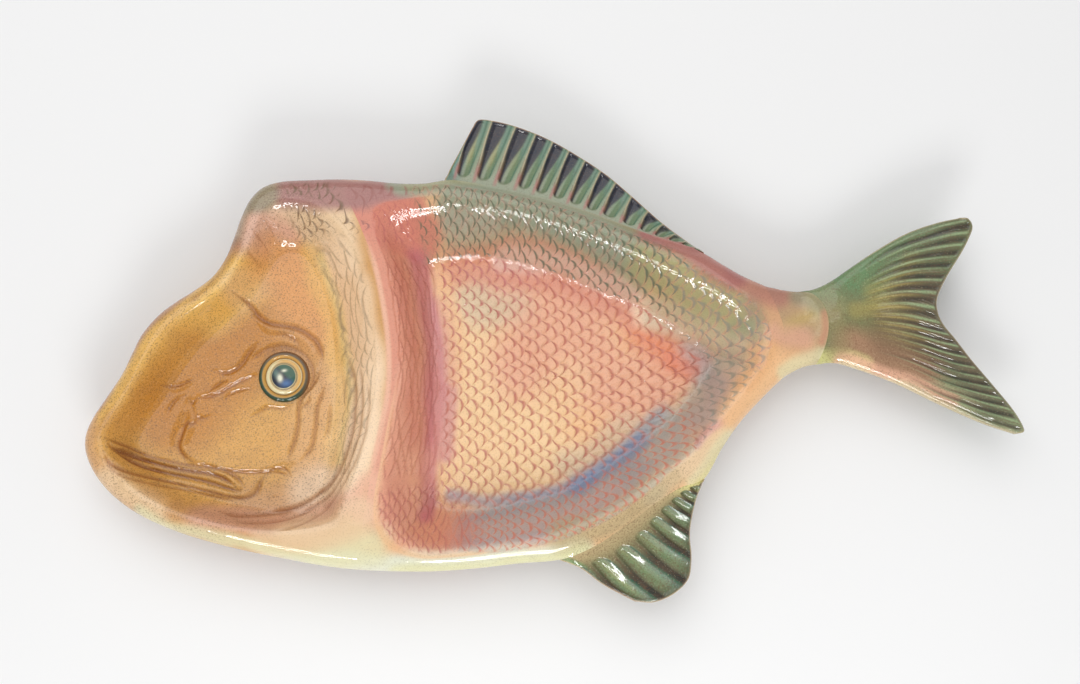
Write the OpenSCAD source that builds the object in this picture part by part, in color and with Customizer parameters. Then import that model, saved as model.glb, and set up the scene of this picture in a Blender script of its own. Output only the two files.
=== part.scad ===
// Fish shaped serving platter in glazed earthenware, nose to the left and tail to the right.
// Two wells, one in the head and one in the trunk, with a gill ridge between them.
// Millimetres, +Z up, standing on z = 0 with its middle over the origin.

/* [Platter] */
// Length from the nose to the tip of the tail
platter_l = 480; // [430:5:530]
// Width over the dorsal and anal fins
platter_w = 263; // [240:1:290]
// Height of the rim above the table
platter_h = 36; // [33:0.5:42]

/* [Clay] */
// Thickness of the clay, measured straight down
clay_t = 6; // [5:0.25:7]
// Thickness of the fins and the tail
fin_t = 5; // [4:0.25:6]
// Height of the free edge face
edge_t = 3.5; // [2.5:0.25:4.5]

/* [Wells] */
// Height of the trunk floor above the table
trunk_floor_z = 10; // [9:0.25:12]
// Height of the head floor above the table
head_floor_z = 14; // [12:0.25:16]
// How far the middle of the gill ridge lies below the rim
ridge_drop = 4; // [0:0.5:7]

/* [Rim] */
// Width of the rolled rim
rim_w = 8.5; // [6.5:0.25:8.5]
// How far the rolled rim falls to its edge
rim_drop = 10; // [6:0.5:12]
// Width of the hollow between the rim and a fin
fin_seat_w = 6.5; // [5:0.25:6.5]
// How far the rim falls to a fin
fin_seat_drop = 4; // [2:0.25:6]

/* [Fins and tail] */
// Number of flutes in the dorsal fin
dorsal_flutes = 15; // [10:1:18]
// Number of flutes in the anal fin
anal_flutes = 8; // [5:1:10]
// Depth of the fin flutes
flute_depth = 2.2; // [1:0.1:2.6]
// How far a fin droops to its free edge
fin_droop = 3; // [0:0.5:5]
// Number of rays in the tail
tail_rays = 18; // [12:1:24]
// Depth of the grooves between the tail rays
ray_depth = 1.2; // [0.5:0.1:1.6]
// How far the stem falls from the trunk to the tail
stem_fall = 4; // [2:0.5:6]
// Height of the step from the stem down to the tail
wrist_step = 1.2; // [0.5:0.1:2]
// How far the middle of the tail lies below its sides
tail_dish = 3; // [0:0.5:5]

/* [Feet] */
// Width of the clay of a foot ring
foot_w = 7; // [5:0.5:10]

/* [Face] */
// Width of each lip
lip_w = 4; // [3:0.25:5]
// Height of the lips
lip_h = 1.6; // [0.5:0.1:2.2]
// Depth of the mouth between the lips
mouth_depth = 1.4; // [0.5:0.1:2]
// Height of the cheek above the lips
cheek_h = 1.5; // [0.5:0.1:2.2]
// Height of the gill cover above the neck
gill_h = 1.4; // [0.5:0.1:2]
// Width of the step at the cheek and at the gill cover
step_w = 5; // [4:0.25:7]
// How far a step reaches before it has died away
step_reach = 13; // [9:0.5:16]

/* [Eye] */
// Width of the eyeball
eyeball_d = 20; // [16:0.5:20]
// Width of the ring round the eyeball
eye_ring_w = 3.5; // [2:0.25:5]
// Height of the ring above the head floor
eye_ring_h = 2.6; // [1.5:0.1:3.5]
// Height of the eyeball above the head floor
eyeball_h = 3.4; // [2:0.1:4.5]

/* [Hidden] */

// Places are shares of the platter's length and width, from its middle.

// Upper side of the stem, from the tail joint towards the back
stem_top_shares = [
  [0.287, 0.059], [0.274, 0.064], [0.261, 0.073]
];

// Back of the fish between the stem and the dorsal fin
upper_back_shares = [
  [0.249, 0.083], [0.228, 0.108], [0.209, 0.136]
];

// Line on the back where the dorsal fin is joined, from its rear end
dorsal_root_shares = [
  [0.192, 0.160], [0.166, 0.186], [0.139, 0.210], [0.112, 0.237], [0.086, 0.264], [0.059, 0.290],
  [0.032, 0.314], [0.003, 0.336], [-0.024, 0.354], [-0.051, 0.371]
];

// Back of the fish between the dorsal fin and the gill ridge
nape_shares = [
  [-0.077, 0.384], [-0.102, 0.386], [-0.129, 0.394], [-0.160, 0.408]
];

// Head, from the top of the gill ridge over the forehead, nose and chin
head_shares = [
  [-0.191, 0.419], [-0.223, 0.426], [-0.252, 0.431], [-0.274, 0.425], [-0.290, 0.404], [-0.302, 0.372],
  [-0.312, 0.336], [-0.324, 0.296], [-0.340, 0.263], [-0.360, 0.241], [-0.383, 0.222], [-0.405, 0.199],
  [-0.425, 0.166], [-0.439, 0.128], [-0.452, 0.092], [-0.472, 0.050], [-0.488, 0.016], [-0.498, -0.018],
  [-0.499, -0.056], [-0.490, -0.103], [-0.472, -0.149], [-0.446, -0.191], [-0.412, -0.229], [-0.375, -0.261],
  [-0.335, -0.290], [-0.298, -0.314], [-0.262, -0.336]
];

// Belly, from the foot of the gill ridge to the anal fin
belly_shares = [
  [-0.227, -0.353], [-0.187, -0.367], [-0.146, -0.378], [-0.104, -0.384], [-0.058, -0.387]
];

// Line on the belly where the anal fin is joined
anal_root_shares = [
  [-0.014, -0.391], [0.025, -0.375], [0.063, -0.343], [0.096, -0.311], [0.125, -0.288]
];

// Underside between the anal fin and the stem
lower_back_shares = [
  [0.153, -0.277], [0.178, -0.223], [0.202, -0.178], [0.231, -0.136]
];

// Lower side of the stem, up to the tail joint
stem_bottom_shares = [
  [0.252, -0.109], [0.263, -0.099], [0.277, -0.091], [0.292, -0.089]
];

// Crest of the gill ridge, from the back to the belly
seam_shares = [
  [-0.191, 0.419], [-0.183, 0.370], [-0.173, 0.309], [-0.164, 0.233], [-0.161, 0.149], [-0.162, 0.066],
  [-0.168, -0.010], [-0.181, -0.086], [-0.196, -0.162], [-0.208, -0.231], [-0.218, -0.292], [-0.227, -0.353]
];

// Joint of trunk and stem, from the belly side to the back
stem_seam_shares = [
  [0.252, -0.109], [0.260, -0.064], [0.262, -0.016], [0.258, 0.031], [0.249, 0.083]
];

// Lip of the trunk well, from the top of the ridge and anticlockwise
trunk_lip_shares = [
  [-0.160, 0.347], [-0.163, 0.324], [-0.160, 0.286], [-0.154, 0.222], [-0.152, 0.146], [-0.153, 0.066],
  [-0.159, -0.007], [-0.172, -0.079], [-0.185, -0.155], [-0.196, -0.219], [-0.197, -0.269], [-0.183, -0.315],
  [-0.154, -0.343], [-0.121, -0.350], [-0.085, -0.352], [-0.045, -0.353], [-0.008, -0.345], [0.025, -0.332],
  [0.059, -0.311], [0.090, -0.284], [0.117, -0.257], [0.144, -0.229], [0.167, -0.193], [0.191, -0.151],
  [0.215, -0.111], [0.234, -0.075], [0.244, -0.045], [0.248, -0.014], [0.244, 0.018], [0.229, 0.060],
  [0.209, 0.094], [0.188, 0.121], [0.165, 0.141], [0.142, 0.170], [0.119, 0.197], [0.094, 0.224],
  [0.068, 0.252], [0.042, 0.277], [0.015, 0.299], [-0.012, 0.319], [-0.037, 0.333], [-0.062, 0.343],
  [-0.085, 0.356], [-0.108, 0.358], [-0.129, 0.358], [-0.148, 0.357]
];

// Edge of the flat floor of the trunk well, point for point with its lip
trunk_floor_shares = [
  [-0.104, 0.214], [-0.106, 0.199], [-0.108, 0.172], [-0.110, 0.134], [-0.112, 0.089], [-0.115, 0.039],
  [-0.118, -0.010], [-0.124, -0.064], [-0.130, -0.117], [-0.136, -0.166], [-0.140, -0.208], [-0.137, -0.242],
  [-0.121, -0.261], [-0.096, -0.269], [-0.066, -0.271], [-0.033, -0.267], [0.002, -0.259], [0.034, -0.238],
  [0.061, -0.216], [0.086, -0.193], [0.109, -0.170], [0.130, -0.149], [0.146, -0.124], [0.161, -0.102],
  [0.171, -0.081], [0.177, -0.067], [0.181, -0.058], [0.182, -0.050], [0.179, -0.043], [0.175, -0.033],
  [0.167, -0.016], [0.157, 0.005], [0.144, 0.030], [0.130, 0.050], [0.113, 0.071], [0.096, 0.092],
  [0.077, 0.111], [0.057, 0.134], [0.034, 0.157], [0.011, 0.180], [-0.012, 0.199], [-0.035, 0.212],
  [-0.056, 0.220], [-0.073, 0.223], [-0.085, 0.223], [-0.096, 0.220]
];

// Lip of the head well, from the foot of the ridge and anticlockwise
head_lip_shares = [
  [-0.243, -0.254], [-0.233, -0.237], [-0.222, -0.200], [-0.207, -0.147], [-0.191, -0.083], [-0.179, -0.010],
  [-0.173, 0.066], [-0.172, 0.149], [-0.175, 0.229], [-0.185, 0.294], [-0.200, 0.339], [-0.214, 0.370],
  [-0.235, 0.387], [-0.254, 0.393], [-0.269, 0.385], [-0.280, 0.364], [-0.288, 0.336], [-0.298, 0.303],
  [-0.310, 0.275], [-0.324, 0.244], [-0.344, 0.219], [-0.367, 0.200], [-0.390, 0.176], [-0.408, 0.146],
  [-0.425, 0.108], [-0.439, 0.068], [-0.454, 0.032], [-0.467, 0.004], [-0.477, -0.020], [-0.477, -0.050],
  [-0.471, -0.086], [-0.456, -0.124], [-0.434, -0.161], [-0.405, -0.195], [-0.373, -0.221], [-0.337, -0.244],
  [-0.304, -0.257], [-0.271, -0.261]
];

// Edge of the flat floor of the head well, point for point with its lip
head_floor_shares = [
  [-0.266, -0.216], [-0.260, -0.193], [-0.254, -0.155], [-0.245, -0.109], [-0.239, -0.060], [-0.233, -0.003],
  [-0.229, 0.054], [-0.227, 0.111], [-0.227, 0.165], [-0.231, 0.210], [-0.237, 0.248], [-0.243, 0.271],
  [-0.252, 0.286], [-0.262, 0.292], [-0.272, 0.286], [-0.281, 0.271], [-0.289, 0.252], [-0.299, 0.229],
  [-0.310, 0.208], [-0.325, 0.189], [-0.340, 0.170], [-0.356, 0.149], [-0.373, 0.125], [-0.389, 0.096],
  [-0.404, 0.066], [-0.418, 0.035], [-0.432, 0.009], [-0.442, -0.014], [-0.448, -0.033], [-0.447, -0.056],
  [-0.440, -0.083], [-0.428, -0.107], [-0.410, -0.134], [-0.387, -0.159], [-0.360, -0.181], [-0.331, -0.200],
  [-0.306, -0.214], [-0.283, -0.221]
];

// Free edge of the dorsal fin, from its rear end to its front corner
dorsal_edge_shares = [
  [0.187, 0.173], [0.180, 0.183], [0.152, 0.235], [0.124, 0.297], [0.099, 0.350], [0.069, 0.400],
  [0.040, 0.441], [0.011, 0.472], [-0.012, 0.490], [-0.030, 0.498], [-0.039, 0.482]
];

// Front edge of the anal fin
anal_front_shares = [
  [-0.014, -0.391], [0.007, -0.413], [0.029, -0.452], [0.059, -0.492]
];

// Free edge of the anal fin, from its front corner to its rear end
anal_edge_shares = [
  [0.059, -0.492], [0.079, -0.499], [0.101, -0.489], [0.119, -0.465], [0.126, -0.425], [0.128, -0.383],
  [0.133, -0.350], [0.141, -0.315], [0.149, -0.290]
];

// Arc where the tail meets the stem, from top to bottom
wrist_shares = [
  [0.287, 0.059], [0.300, 0.049], [0.309, 0.026], [0.312, -0.003], [0.309, -0.033], [0.302, -0.062],
  [0.292, -0.089]
];

// Upper edge of the tail, from the stem
tail_top_shares = [
  [0.287, 0.059], [0.304, 0.060], [0.323, 0.070], [0.348, 0.092], [0.378, 0.118], [0.414, 0.143],
  [0.448, 0.155], [0.473, 0.158]
];

// Rear edge of the tail, from the upper tip round the fork to the lower tip
tail_fork_shares = [
  [0.473, 0.158], [0.483, 0.152], [0.486, 0.136], [0.481, 0.117], [0.470, 0.089], [0.449, 0.044],
  [0.436, 0.009], [0.433, -0.016], [0.436, -0.045], [0.447, -0.081], [0.460, -0.126], [0.477, -0.179],
  [0.493, -0.232], [0.500, -0.267], [0.499, -0.280], [0.491, -0.282]
];

// Lower edge of the tail, from the stem
tail_bottom_shares = [
  [0.292, -0.089], [0.311, -0.091], [0.330, -0.105], [0.373, -0.148], [0.416, -0.202], [0.458, -0.251],
  [0.491, -0.282]
];

// Mouth, from the nose to its corner
mouth_shares = [
  [-0.470, -0.035], [-0.456, -0.059], [-0.437, -0.083], [-0.414, -0.102], [-0.393, -0.119], [-0.372, -0.136],
  [-0.356, -0.150]
];

// Foot of the cheek, from under the nostril to behind the mouth
cheek_shares = [
  [-0.388, 0.010], [-0.397, -0.019], [-0.405, -0.041], [-0.407, -0.063], [-0.403, -0.082], [-0.392, -0.097],
  [-0.375, -0.110], [-0.354, -0.124], [-0.333, -0.133], [-0.312, -0.137], [-0.295, -0.131]
];

// Edge of the gill cover, from beside the ridge to under the mouth
gill_shares = [
  [-0.210, 0.099], [-0.208, 0.048], [-0.209, -0.003], [-0.212, -0.053], [-0.220, -0.104], [-0.234, -0.148],
  [-0.255, -0.186], [-0.278, -0.209], [-0.305, -0.219], [-0.333, -0.216], [-0.361, -0.203]
];

// Hubs of the two wells, which their floors close on
trunk_hub_share = [0.010, -0.030];
head_hub_share = [-0.310, 0.020];
// Middle of the eye
eye_share = [-0.283, 0.047];
// Middle of the stretch of ridge that dips, and half its length and width
dip_share = [-0.177, 0.035];
dip_reach_shares = [0.125, 0.323];
// Where the stem starts to fall and to thin its rim, and where it ends
stem_shares = [0.205, 0.300];
// Share of a well's wall that bends at the lip, and at the floor
trunk_bend_shares = [0.34, 0.16];
head_bend_shares = [0.30, 0.45];
// Feet follow the floor edges at this share of the way from the hub
foot_share = 0.84;
// Rows from the edge to the lip, from the lip to the floor and on to the hub
trunk_row_shares = [0, 0.12, 0.3, 0.6, 1, 1.12, 1.28, 1.45, 1.62, 1.78, 1.9, 2];
head_row_shares = [0, 0.15, 0.4, 0.7, 1, 1.12, 1.26, 1.4, 1.54, 1.68, 1.8, 1.9, 2,
  2.05, 2.1, 2.15, 2.2, 2.25, 2.31, 2.38, 2.5];
under_row_shares = [0, 0.5, 1, 1.3, 1.65, 2];
// Rows of a fin from its root to its edge, and of the tail
fin_row_shares = [0, 0.07, 0.18, 0.42, 0.68, 0.92, 1];
tail_row_shares = [0, 0.05, 0.14, 0.26, 0.4, 0.54, 0.68, 0.8, 0.9, 0.97, 1];
// Share of the head's wall over which the face's relief grows from the lip
face_rise_share = 0.3;
// Share of a flute or of the tail over which its relief grows
relief_root_share = 0.25;
ray_root_share = 0.7;
// Width of the tail's rounded side, as a share of the rim's
tail_side_share = 0.6;
// Part of the head's outline that runs past the mouth, counted in its points
mouth_first = 17;
mouth_last = 24;
// Samples in each span between outline points
plain_n = 2;
mouth_n = 5;
seam_end_n = 4;
stem_n = 3;
dorsal_n = 3;
anal_n = 4;
wrist_n = 2;
// Columns of a fin or of the tail laid on each chord of its root
dorsal_chord_n = 2;
anal_chord_n = 2;
tail_chord_n = 3;
crown_n = 10;
round_n = 64;
// Farthest that each foot reaches from its hub
head_foot_limit_share = 0.100;
trunk_foot_limit_share = 0.150;
// How far the free edge of a fin is rounded down
fin_edge_round = edge_t / 4;

// Blends and curves
function blend(a, b, t) = a + (b - a) * t;
function clamp(t) = max(0, min(1, t));
function smooth(t) = let (c = clamp(t)) c * c * (3 - 2 * c);
// Rises over the first bend, runs straight, and levels out over the last
function wall_fall(t, bends) =
  let (c = clamp(t), slope = 1 / (1 - bends[0] / 2 - bends[1] / 2))
  c < bends[0] ? slope * c * c / (2 * bends[0])
  : c > 1 - bends[1] ? 1 - slope * (1 - c) * (1 - c) / (2 * bends[1])
  : slope * (c - bends[0] / 2);
function curve_point(a, b, c, d, t) =
  b + (c - a) * t / 2 + (2 * a - 5 * b + 4 * c - d) * t * t / 2 + (3 * b - a - 3 * c + d) * t * t * t / 2;
// An open curve through points, guided by one more point before and after them
function open_curve(before, p, after, counts) =
  let (q = concat([before], p, [after]))
  [for (i = [1 : len(p) - 1]) for (j = [0 : counts[i - 1] - 1])
    curve_point(q[i - 1], q[i], q[i + 1], q[i + 2], j / counts[i - 1]), p[len(p) - 1]];
function free_curve(p, counts) =
  let (e = len(p) - 1)
  open_curve(2 * p[0] - p[1], p, 2 * p[e] - p[e - 1], counts);
function closed_curve(p, counts) =
  let (n = len(p))
  [for (i = [0 : n - 1]) for (j = [0 : counts[i] - 1])
    curve_point(p[(i + n - 1) % n], p[i], p[(i + 1) % n], p[(i + 2) % n], j / counts[i])];
function same(n, value) = [for (i = [1 : n]) value];
function slice(p, a, b) = [for (i = [a : b]) p[i]];
function place(p) = [p.x * platter_l, p.y * platter_w];
function places(shares) = [for (p = shares) place(p)];
function total(v, i = 0) = i < len(v) ? v[i] + total(v, i + 1) : 0;
// Distance run along a path at each of its points
function step_on(p, i) = i < len(p) - 1 ? norm(p[i + 1] - p[i]) : 0;
function marks(p) = [for (i = 0, m = 0; i < len(p); m = m + step_on(p, i), i = i + 1) m];
function along(p, m, t) =
  let (s = t * m[len(m) - 1], last = len(p) - 1)
  [lookup(s, [for (i = [0 : last]) [m[i], p[i].x]]), lookup(s, [for (i = [0 : last]) [m[i], p[i].y]])];
function evenly(p, n) = let (m = marks(p)) [for (i = [0 : n]) along(p, m, i / n)];
// A coarse path with the points of each chord added
function refine(p, n) =
  [for (i = [0 : len(p) - 2]) for (j = [0 : n - 1]) blend(p[i], p[i + 1], j / n), p[len(p) - 1]];

// The free outline of head, trunk and stem, anticlockwise from the top of the tail joint
outline_parts = [stem_top_shares, upper_back_shares, dorsal_root_shares, nape_shares, head_shares,
  belly_shares, anal_root_shares, lower_back_shares, stem_bottom_shares];
head_outline_counts = [for (i = [0 : len(head_shares) - 1])
  i >= mouth_first && i < mouth_last ? mouth_n : plain_n];
outline_counts = concat(same(len(stem_top_shares), stem_n), same(len(upper_back_shares), plain_n),
  same(len(dorsal_root_shares), dorsal_n), same(len(nape_shares), plain_n), head_outline_counts,
  same(len(belly_shares), plain_n), same(len(anal_root_shares), anal_n),
  same(len(lower_back_shares), plain_n), same(len(stem_bottom_shares), stem_n));
outline_points = [for (part = outline_parts) for (p = part) place(p)];
outline_before = place(tail_top_shares[1]);
outline_after = place(tail_bottom_shares[1]);
outline = open_curve(outline_before, outline_points, outline_after, outline_counts);
// Places on it, counted in its points
stem_top_i = stem_n * len(stem_top_shares);
dorsal_rear_i = stem_top_i + plain_n * len(upper_back_shares);
dorsal_front_i = dorsal_rear_i + dorsal_n * len(dorsal_root_shares);
ridge_top_i = dorsal_front_i + plain_n * len(nape_shares);
ridge_foot_i = ridge_top_i + total(head_outline_counts);
anal_front_i = ridge_foot_i + plain_n * len(belly_shares);
anal_rear_i = anal_front_i + anal_n * len(anal_root_shares);
stem_bottom_i = anal_rear_i + plain_n * len(lower_back_shares);
outline_end_i = len(outline) - 1;

seam_counts = concat([seam_end_n], same(len(seam_shares) - 3, plain_n), [seam_end_n]);
seam = free_curve(places(seam_shares), seam_counts);
stem_seam_counts = same(len(stem_seam_shares) - 1, stem_n);
stem_seam = free_curve(places(stem_seam_shares), stem_seam_counts);
wrist = free_curve(places(wrist_shares), same(len(wrist_shares) - 1, wrist_n));

// Rings of the trunk: down the ridge, along the belly, up the stem joint and back along the back
trunk_edge = concat(slice(seam, 0, len(seam) - 2), slice(outline, ridge_foot_i, stem_bottom_i - 1),
  slice(stem_seam, 0, len(stem_seam) - 2), slice(outline, stem_top_i, ridge_top_i - 1));
trunk_counts = concat(seam_counts, same(len(belly_shares), plain_n), same(len(anal_root_shares), anal_n),
  same(len(lower_back_shares), plain_n), stem_seam_counts, same(len(upper_back_shares), plain_n),
  same(len(dorsal_root_shares), dorsal_n), same(len(nape_shares), plain_n));
trunk_lip = closed_curve(places(trunk_lip_shares), trunk_counts);
trunk_floor = closed_curve(places(trunk_floor_shares), trunk_counts);
trunk_hub = place(trunk_hub_share);
// Rings of the head: up the ridge, then round the nape, forehead, nose and chin
ridge_edge = [for (i = [len(seam) - 1 : -1 : 1]) seam[i]];
head_edge = concat(ridge_edge, slice(outline, ridge_top_i, ridge_foot_i - 1));
head_counts = concat(seam_counts, head_outline_counts);
head_lip = closed_curve(places(head_lip_shares), head_counts);
head_floor = closed_curve(places(head_floor_shares), head_counts);
head_hub = place(head_hub_share);

// Heights of the upper surface
function chord_distance(p, a, b) =
  let (ab = b - a, t = clamp((p - a) * ab / (ab * ab)))
  norm(p - a - ab * t);
function path_distance(p, path) =
  min([for (i = [0 : len(path) - 2]) chord_distance(p, path[i], path[i + 1])]);
function edge_distance(p) = path_distance(p, outline);
function bump(t) = let (c = max(0, 1 - t * t)) c * c;
function dip(p) = bump((p.x - place(dip_share).x) / place(dip_reach_shares).x)
  * bump((p.y - place(dip_share).y) / place(dip_reach_shares).y);
// 0 where the stem starts, 1 where it meets the tail
function along_stem(p) =
  let (start = platter_l * stem_shares[0], end = platter_l * stem_shares[1])
  smooth((p.x - start) / (end - start));
function crest_z(p) = platter_h - ridge_drop * dip(p) - stem_fall * along_stem(p);
// 1 beside a fin, 0 at a free edge
function inside_run(x, a, b) = smooth((x - a) / rim_w / 2 + 1 / 2) * smooth((b - x) / rim_w / 2 + 1 / 2);
function at_fin(p) =
  p.y > 0 ? inside_run(p.x, outline[dorsal_front_i].x, outline[dorsal_rear_i].x)
  : inside_run(p.x, outline[anal_front_i].x, outline[anal_rear_i].x);
function free_drop(p) = blend(rim_drop, fin_seat_drop, along_stem(p));
function rim_fall(p, d) =
  let (u = clamp(1 - d / rim_w), v = clamp(1 - d / fin_seat_w))
  blend(free_drop(p) * (1 - sqrt(1 - u * u)), fin_seat_drop * smooth(v), at_fin(p));
function edge_z(p) = crest_z(p) - rim_fall(p, 0);
function edge_face(p) = blend(edge_t, fin_t, at_fin(p));
// Upper and under side of a dish where row s is 0 at the edge, 1 at the lip and 2 at the floor
function dish_z(p, s, floor_z, bends) =
  s <= 1 ? crest_z(p) - rim_fall(p, edge_distance(p)) : blend(crest_z(p), floor_z, wall_fall(s - 1, bends));
function under_z(p, s, floor_z, bends) =
  s <= 1 ? blend(crest_z(p) - clay_t, edge_z(p) - edge_face(p), smooth(1 - edge_distance(p) / rim_w))
  : blend(crest_z(p), floor_z, wall_fall(s - 1, bends)) - clay_t;
function row_point(edge, lip, floor_edge, hub, s) =
  s <= 1 ? blend(edge, lip, s) : s <= 2 ? blend(lip, floor_edge, s - 1) : blend(floor_edge, hub, s - 2);

// Relief of the face: two lips with the mouth between them, and steps down from cheek and gill cover
mouth = free_curve(places(mouth_shares), same(len(mouth_shares) - 1, plain_n));
cheek = places(cheek_shares);
gill = places(gill_shares);
function mouth_z(p) =
  let (d = path_distance(p, mouth), end = norm(p - mouth[len(mouth) - 1]))
  (lip_h * bump((d - lip_w) / lip_w) - mouth_depth * bump(d / lip_w)) * smooth(end / lip_w / 2);
// Distance to a path, below zero on its right
function side_distance(p, path) =
  let (reach = [for (i = [0 : len(path) - 2]) chord_distance(p, path[i], path[i + 1])],
    d = min(reach), k = search(d, reach)[0], run = path[k + 1] - path[k], way = p - path[k])
  run.x * way.y - run.y * way.x < 0 ? -d : d;
// A step at a path with its high side on the left, level again farther from it and at its ends
function step_z(p, path, h) =
  let (d = side_distance(p, path), end = min(norm(p - path[0]), norm(p - path[len(path) - 1])))
  h * bump(d / step_reach) * smooth(end / step_reach) * (smooth(d / step_w + 1 / 2) - 1 / 2);
function face_z(p) = mouth_z(p) + step_z(p, cheek, cheek_h) + step_z(p, gill, -gill_h);

// Faces of a closed band of rings, and of a square grid
function ring_faces(rows, n, first) =
  [for (r = [0 : rows - 2]) for (i = [0 : n - 1])
    let (a = first + r * n, b = a + n, j = (i + 1) % n) each [[a + i, b + i, b + j], [a + i, b + j, a + j]]];
function grid_faces(rows, n, first) =
  [for (r = [0 : rows - 2]) for (i = [0 : n - 2])
    let (a = first + r * n + i, b = a + n) each [[a, b, b + 1], [a, b + 1, a + 1]]];
function turned(faces) = [for (f = faces) [f[0], f[2], f[1]]];
function fan_faces(n, first, hub) = [for (i = [0 : n - 1]) [first + i, hub, first + (i + 1) % n]];

// A dish lofted through rings of points, from its edge over the lip to the floor
module dish(edge, lip, floor_edge, hub, floor_z, bends, rows, relief) {
  n = len(edge);
  upper = [for (s = rows) for (i = [0 : n - 1])
    let (p = row_point(edge[i], lip[i], floor_edge[i], hub, s))
    [p.x, p.y, dish_z(p, s, floor_z, bends) + relief(p) * smooth((s - 1) / face_rise_share)]];
  under = [for (s = under_row_shares) for (i = [0 : n - 1])
    let (p = row_point(edge[i], lip[i], floor_edge[i], hub, s))
    [p.x, p.y, under_z(p, s, floor_z, bends)]];
  hubs = [[hub.x, hub.y, floor_z], [hub.x, hub.y, floor_z - clay_t]];
  a = len(rows);
  b = len(under_row_shares);
  side = [for (i = [0 : n - 1]) let (j = (i + 1) % n)
    each [[i, j, a * n + j], [i, a * n + j, a * n + i]]];
  top_faces = concat(ring_faces(a, n, 0), fan_faces(n, (a - 1) * n, (a + b) * n));
  bottom_faces = concat(ring_faces(b, n, a * n), fan_faces(n, (a + b - 1) * n, (a + b) * n + 1));
  polyhedron(points = concat(upper, under, hubs), faces = concat(top_faces, turned(bottom_faces), side));
}

// A patch between four edges: root and tip run across, left and right run outwards
function patch(root, tip, left, right) =
  let (n = len(root) - 1, m = len(left) - 1)
  [for (i = [0 : m]) [for (j = [0 : n])
    let (u = j / n, v = i / m)
    blend(root[j], tip[j], v) + blend(left[i], right[i], u)
    - blend(blend(root[0], root[n], u), blend(tip[0], tip[n], u), v)]];
// A slab on a patch, from rows of upper and under heights
module slab(rows, upper, under, mirrored) {
  m = len(rows);
  n = len(rows[0]);
  top = [for (i = [0 : m - 1]) for (j = [0 : n - 1]) [rows[i][j].x, rows[i][j].y, upper[i][j]]];
  bottom = [for (i = [0 : m - 1]) for (j = [0 : n - 1]) [rows[i][j].x, rows[i][j].y, under[i][j]]];
  rim = concat([for (j = [0 : n - 1]) j], [for (i = [1 : m - 1]) i * n + n - 1],
    [for (j = [n - 2 : -1 : 0]) (m - 1) * n + j], [for (i = [m - 2 : -1 : 1]) i * n]);
  k = len(rim);
  side = [for (i = [0 : k - 1]) let (a = rim[i], b = rim[(i + 1) % k])
    each [[a, b, m * n + b], [a, m * n + b, m * n + a]]];
  faces = concat(grid_faces(m, n, 0), turned(grid_faces(m, n, m * n)), side);
  polyhedron(points = concat(top, bottom), faces = mirrored ? turned(faces) : faces);
}
function path_at(p, shares) = let (m = marks(p)) [for (t = shares) along(p, m, t)];

module head_dish() {
  color("goldenrod")
    dish(head_edge, head_lip, head_floor, head_hub, head_floor_z, head_bend_shares, head_row_shares,
      function(p) face_z(p));
}

module trunk_dish() {
  color("salmon")
    dish(trunk_edge, trunk_lip, trunk_floor, trunk_hub, trunk_floor_z, trunk_bend_shares, trunk_row_shares,
      function(p) 0);
}

// The stem, from the trunk to the arc where the tail is joined
module tail_stem() {
  top_side = [for (i = [stem_top_i : -1 : 0]) outline[i]];
  bottom_side = slice(outline, stem_bottom_i, outline_end_i);
  root = [for (i = [len(stem_seam) - 1 : -1 : 0]) stem_seam[i]];
  rows = patch(root, wrist, top_side, bottom_side);
  upper = [for (row = rows) [for (p = row) crest_z(p) - rim_fall(p, edge_distance(p))]];
  under = [for (row = rows) [for (p = row)
    blend(crest_z(p) - clay_t, edge_z(p) - edge_face(p), smooth(1 - edge_distance(p) / rim_w))]];
  color("peachpuff") slab(rows, upper, under, false);
}

// Relief across a flute or groove: 0 on the ridges at its sides and 1 along its middle
function flute(t) = let (w = abs(2 * (t - floor(t)) - 1)) 1 - w * w * w;
function groove(t) = 1 - abs(2 * (t - floor(t)) - 1);
// The points of a joint with their heights, and the points of each chord added
function root_line(p, n) = refine([for (q = p) [q.x, q.y, edge_z(q)]], n);
function flat(p) = [for (q = p) [q.x, q.y]];

// A fluted fin, level with the edge that carries it and drooping to its own edge
module fin(root, rows, flutes) {
  n = len(root) - 1;
  m = len(rows) - 1;
  seat_z = platter_h - fin_seat_drop;
  base = [for (v = fin_row_shares) [for (j = [0 : n])
    blend(root[j].z, seat_z, smooth(v / relief_root_share)) - fin_droop * v]];
  upper = [for (i = [0 : m]) [for (j = [0 : n])
    let (v = fin_row_shares[i], lip = i == m ? fin_edge_round : 0)
    base[i][j] - flute_depth * flute(flutes * j / n) * smooth(v / relief_root_share) * (1 - v / 2) - lip]];
  under = [for (i = [0 : m]) [for (j = [0 : n]) base[i][j] - fin_t]];
  slab(rows, upper, under, true);
}

module dorsal_fin() {
  root = root_line([for (i = [dorsal_rear_i : dorsal_front_i]) outline[i]], dorsal_chord_n);
  edge_path = free_curve(places(dorsal_edge_shares), same(len(dorsal_edge_shares) - 1, wrist_n));
  tip = evenly(edge_path, len(root) - 1);
  plan = flat(root);
  rear = [for (v = fin_row_shares) blend(plan[0], tip[0], v)];
  front = [for (v = fin_row_shares) blend(plan[len(plan) - 1], tip[len(tip) - 1], v)];
  color("darkslategray") fin(root, patch(plan, tip, rear, front), dorsal_flutes);
}

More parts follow.
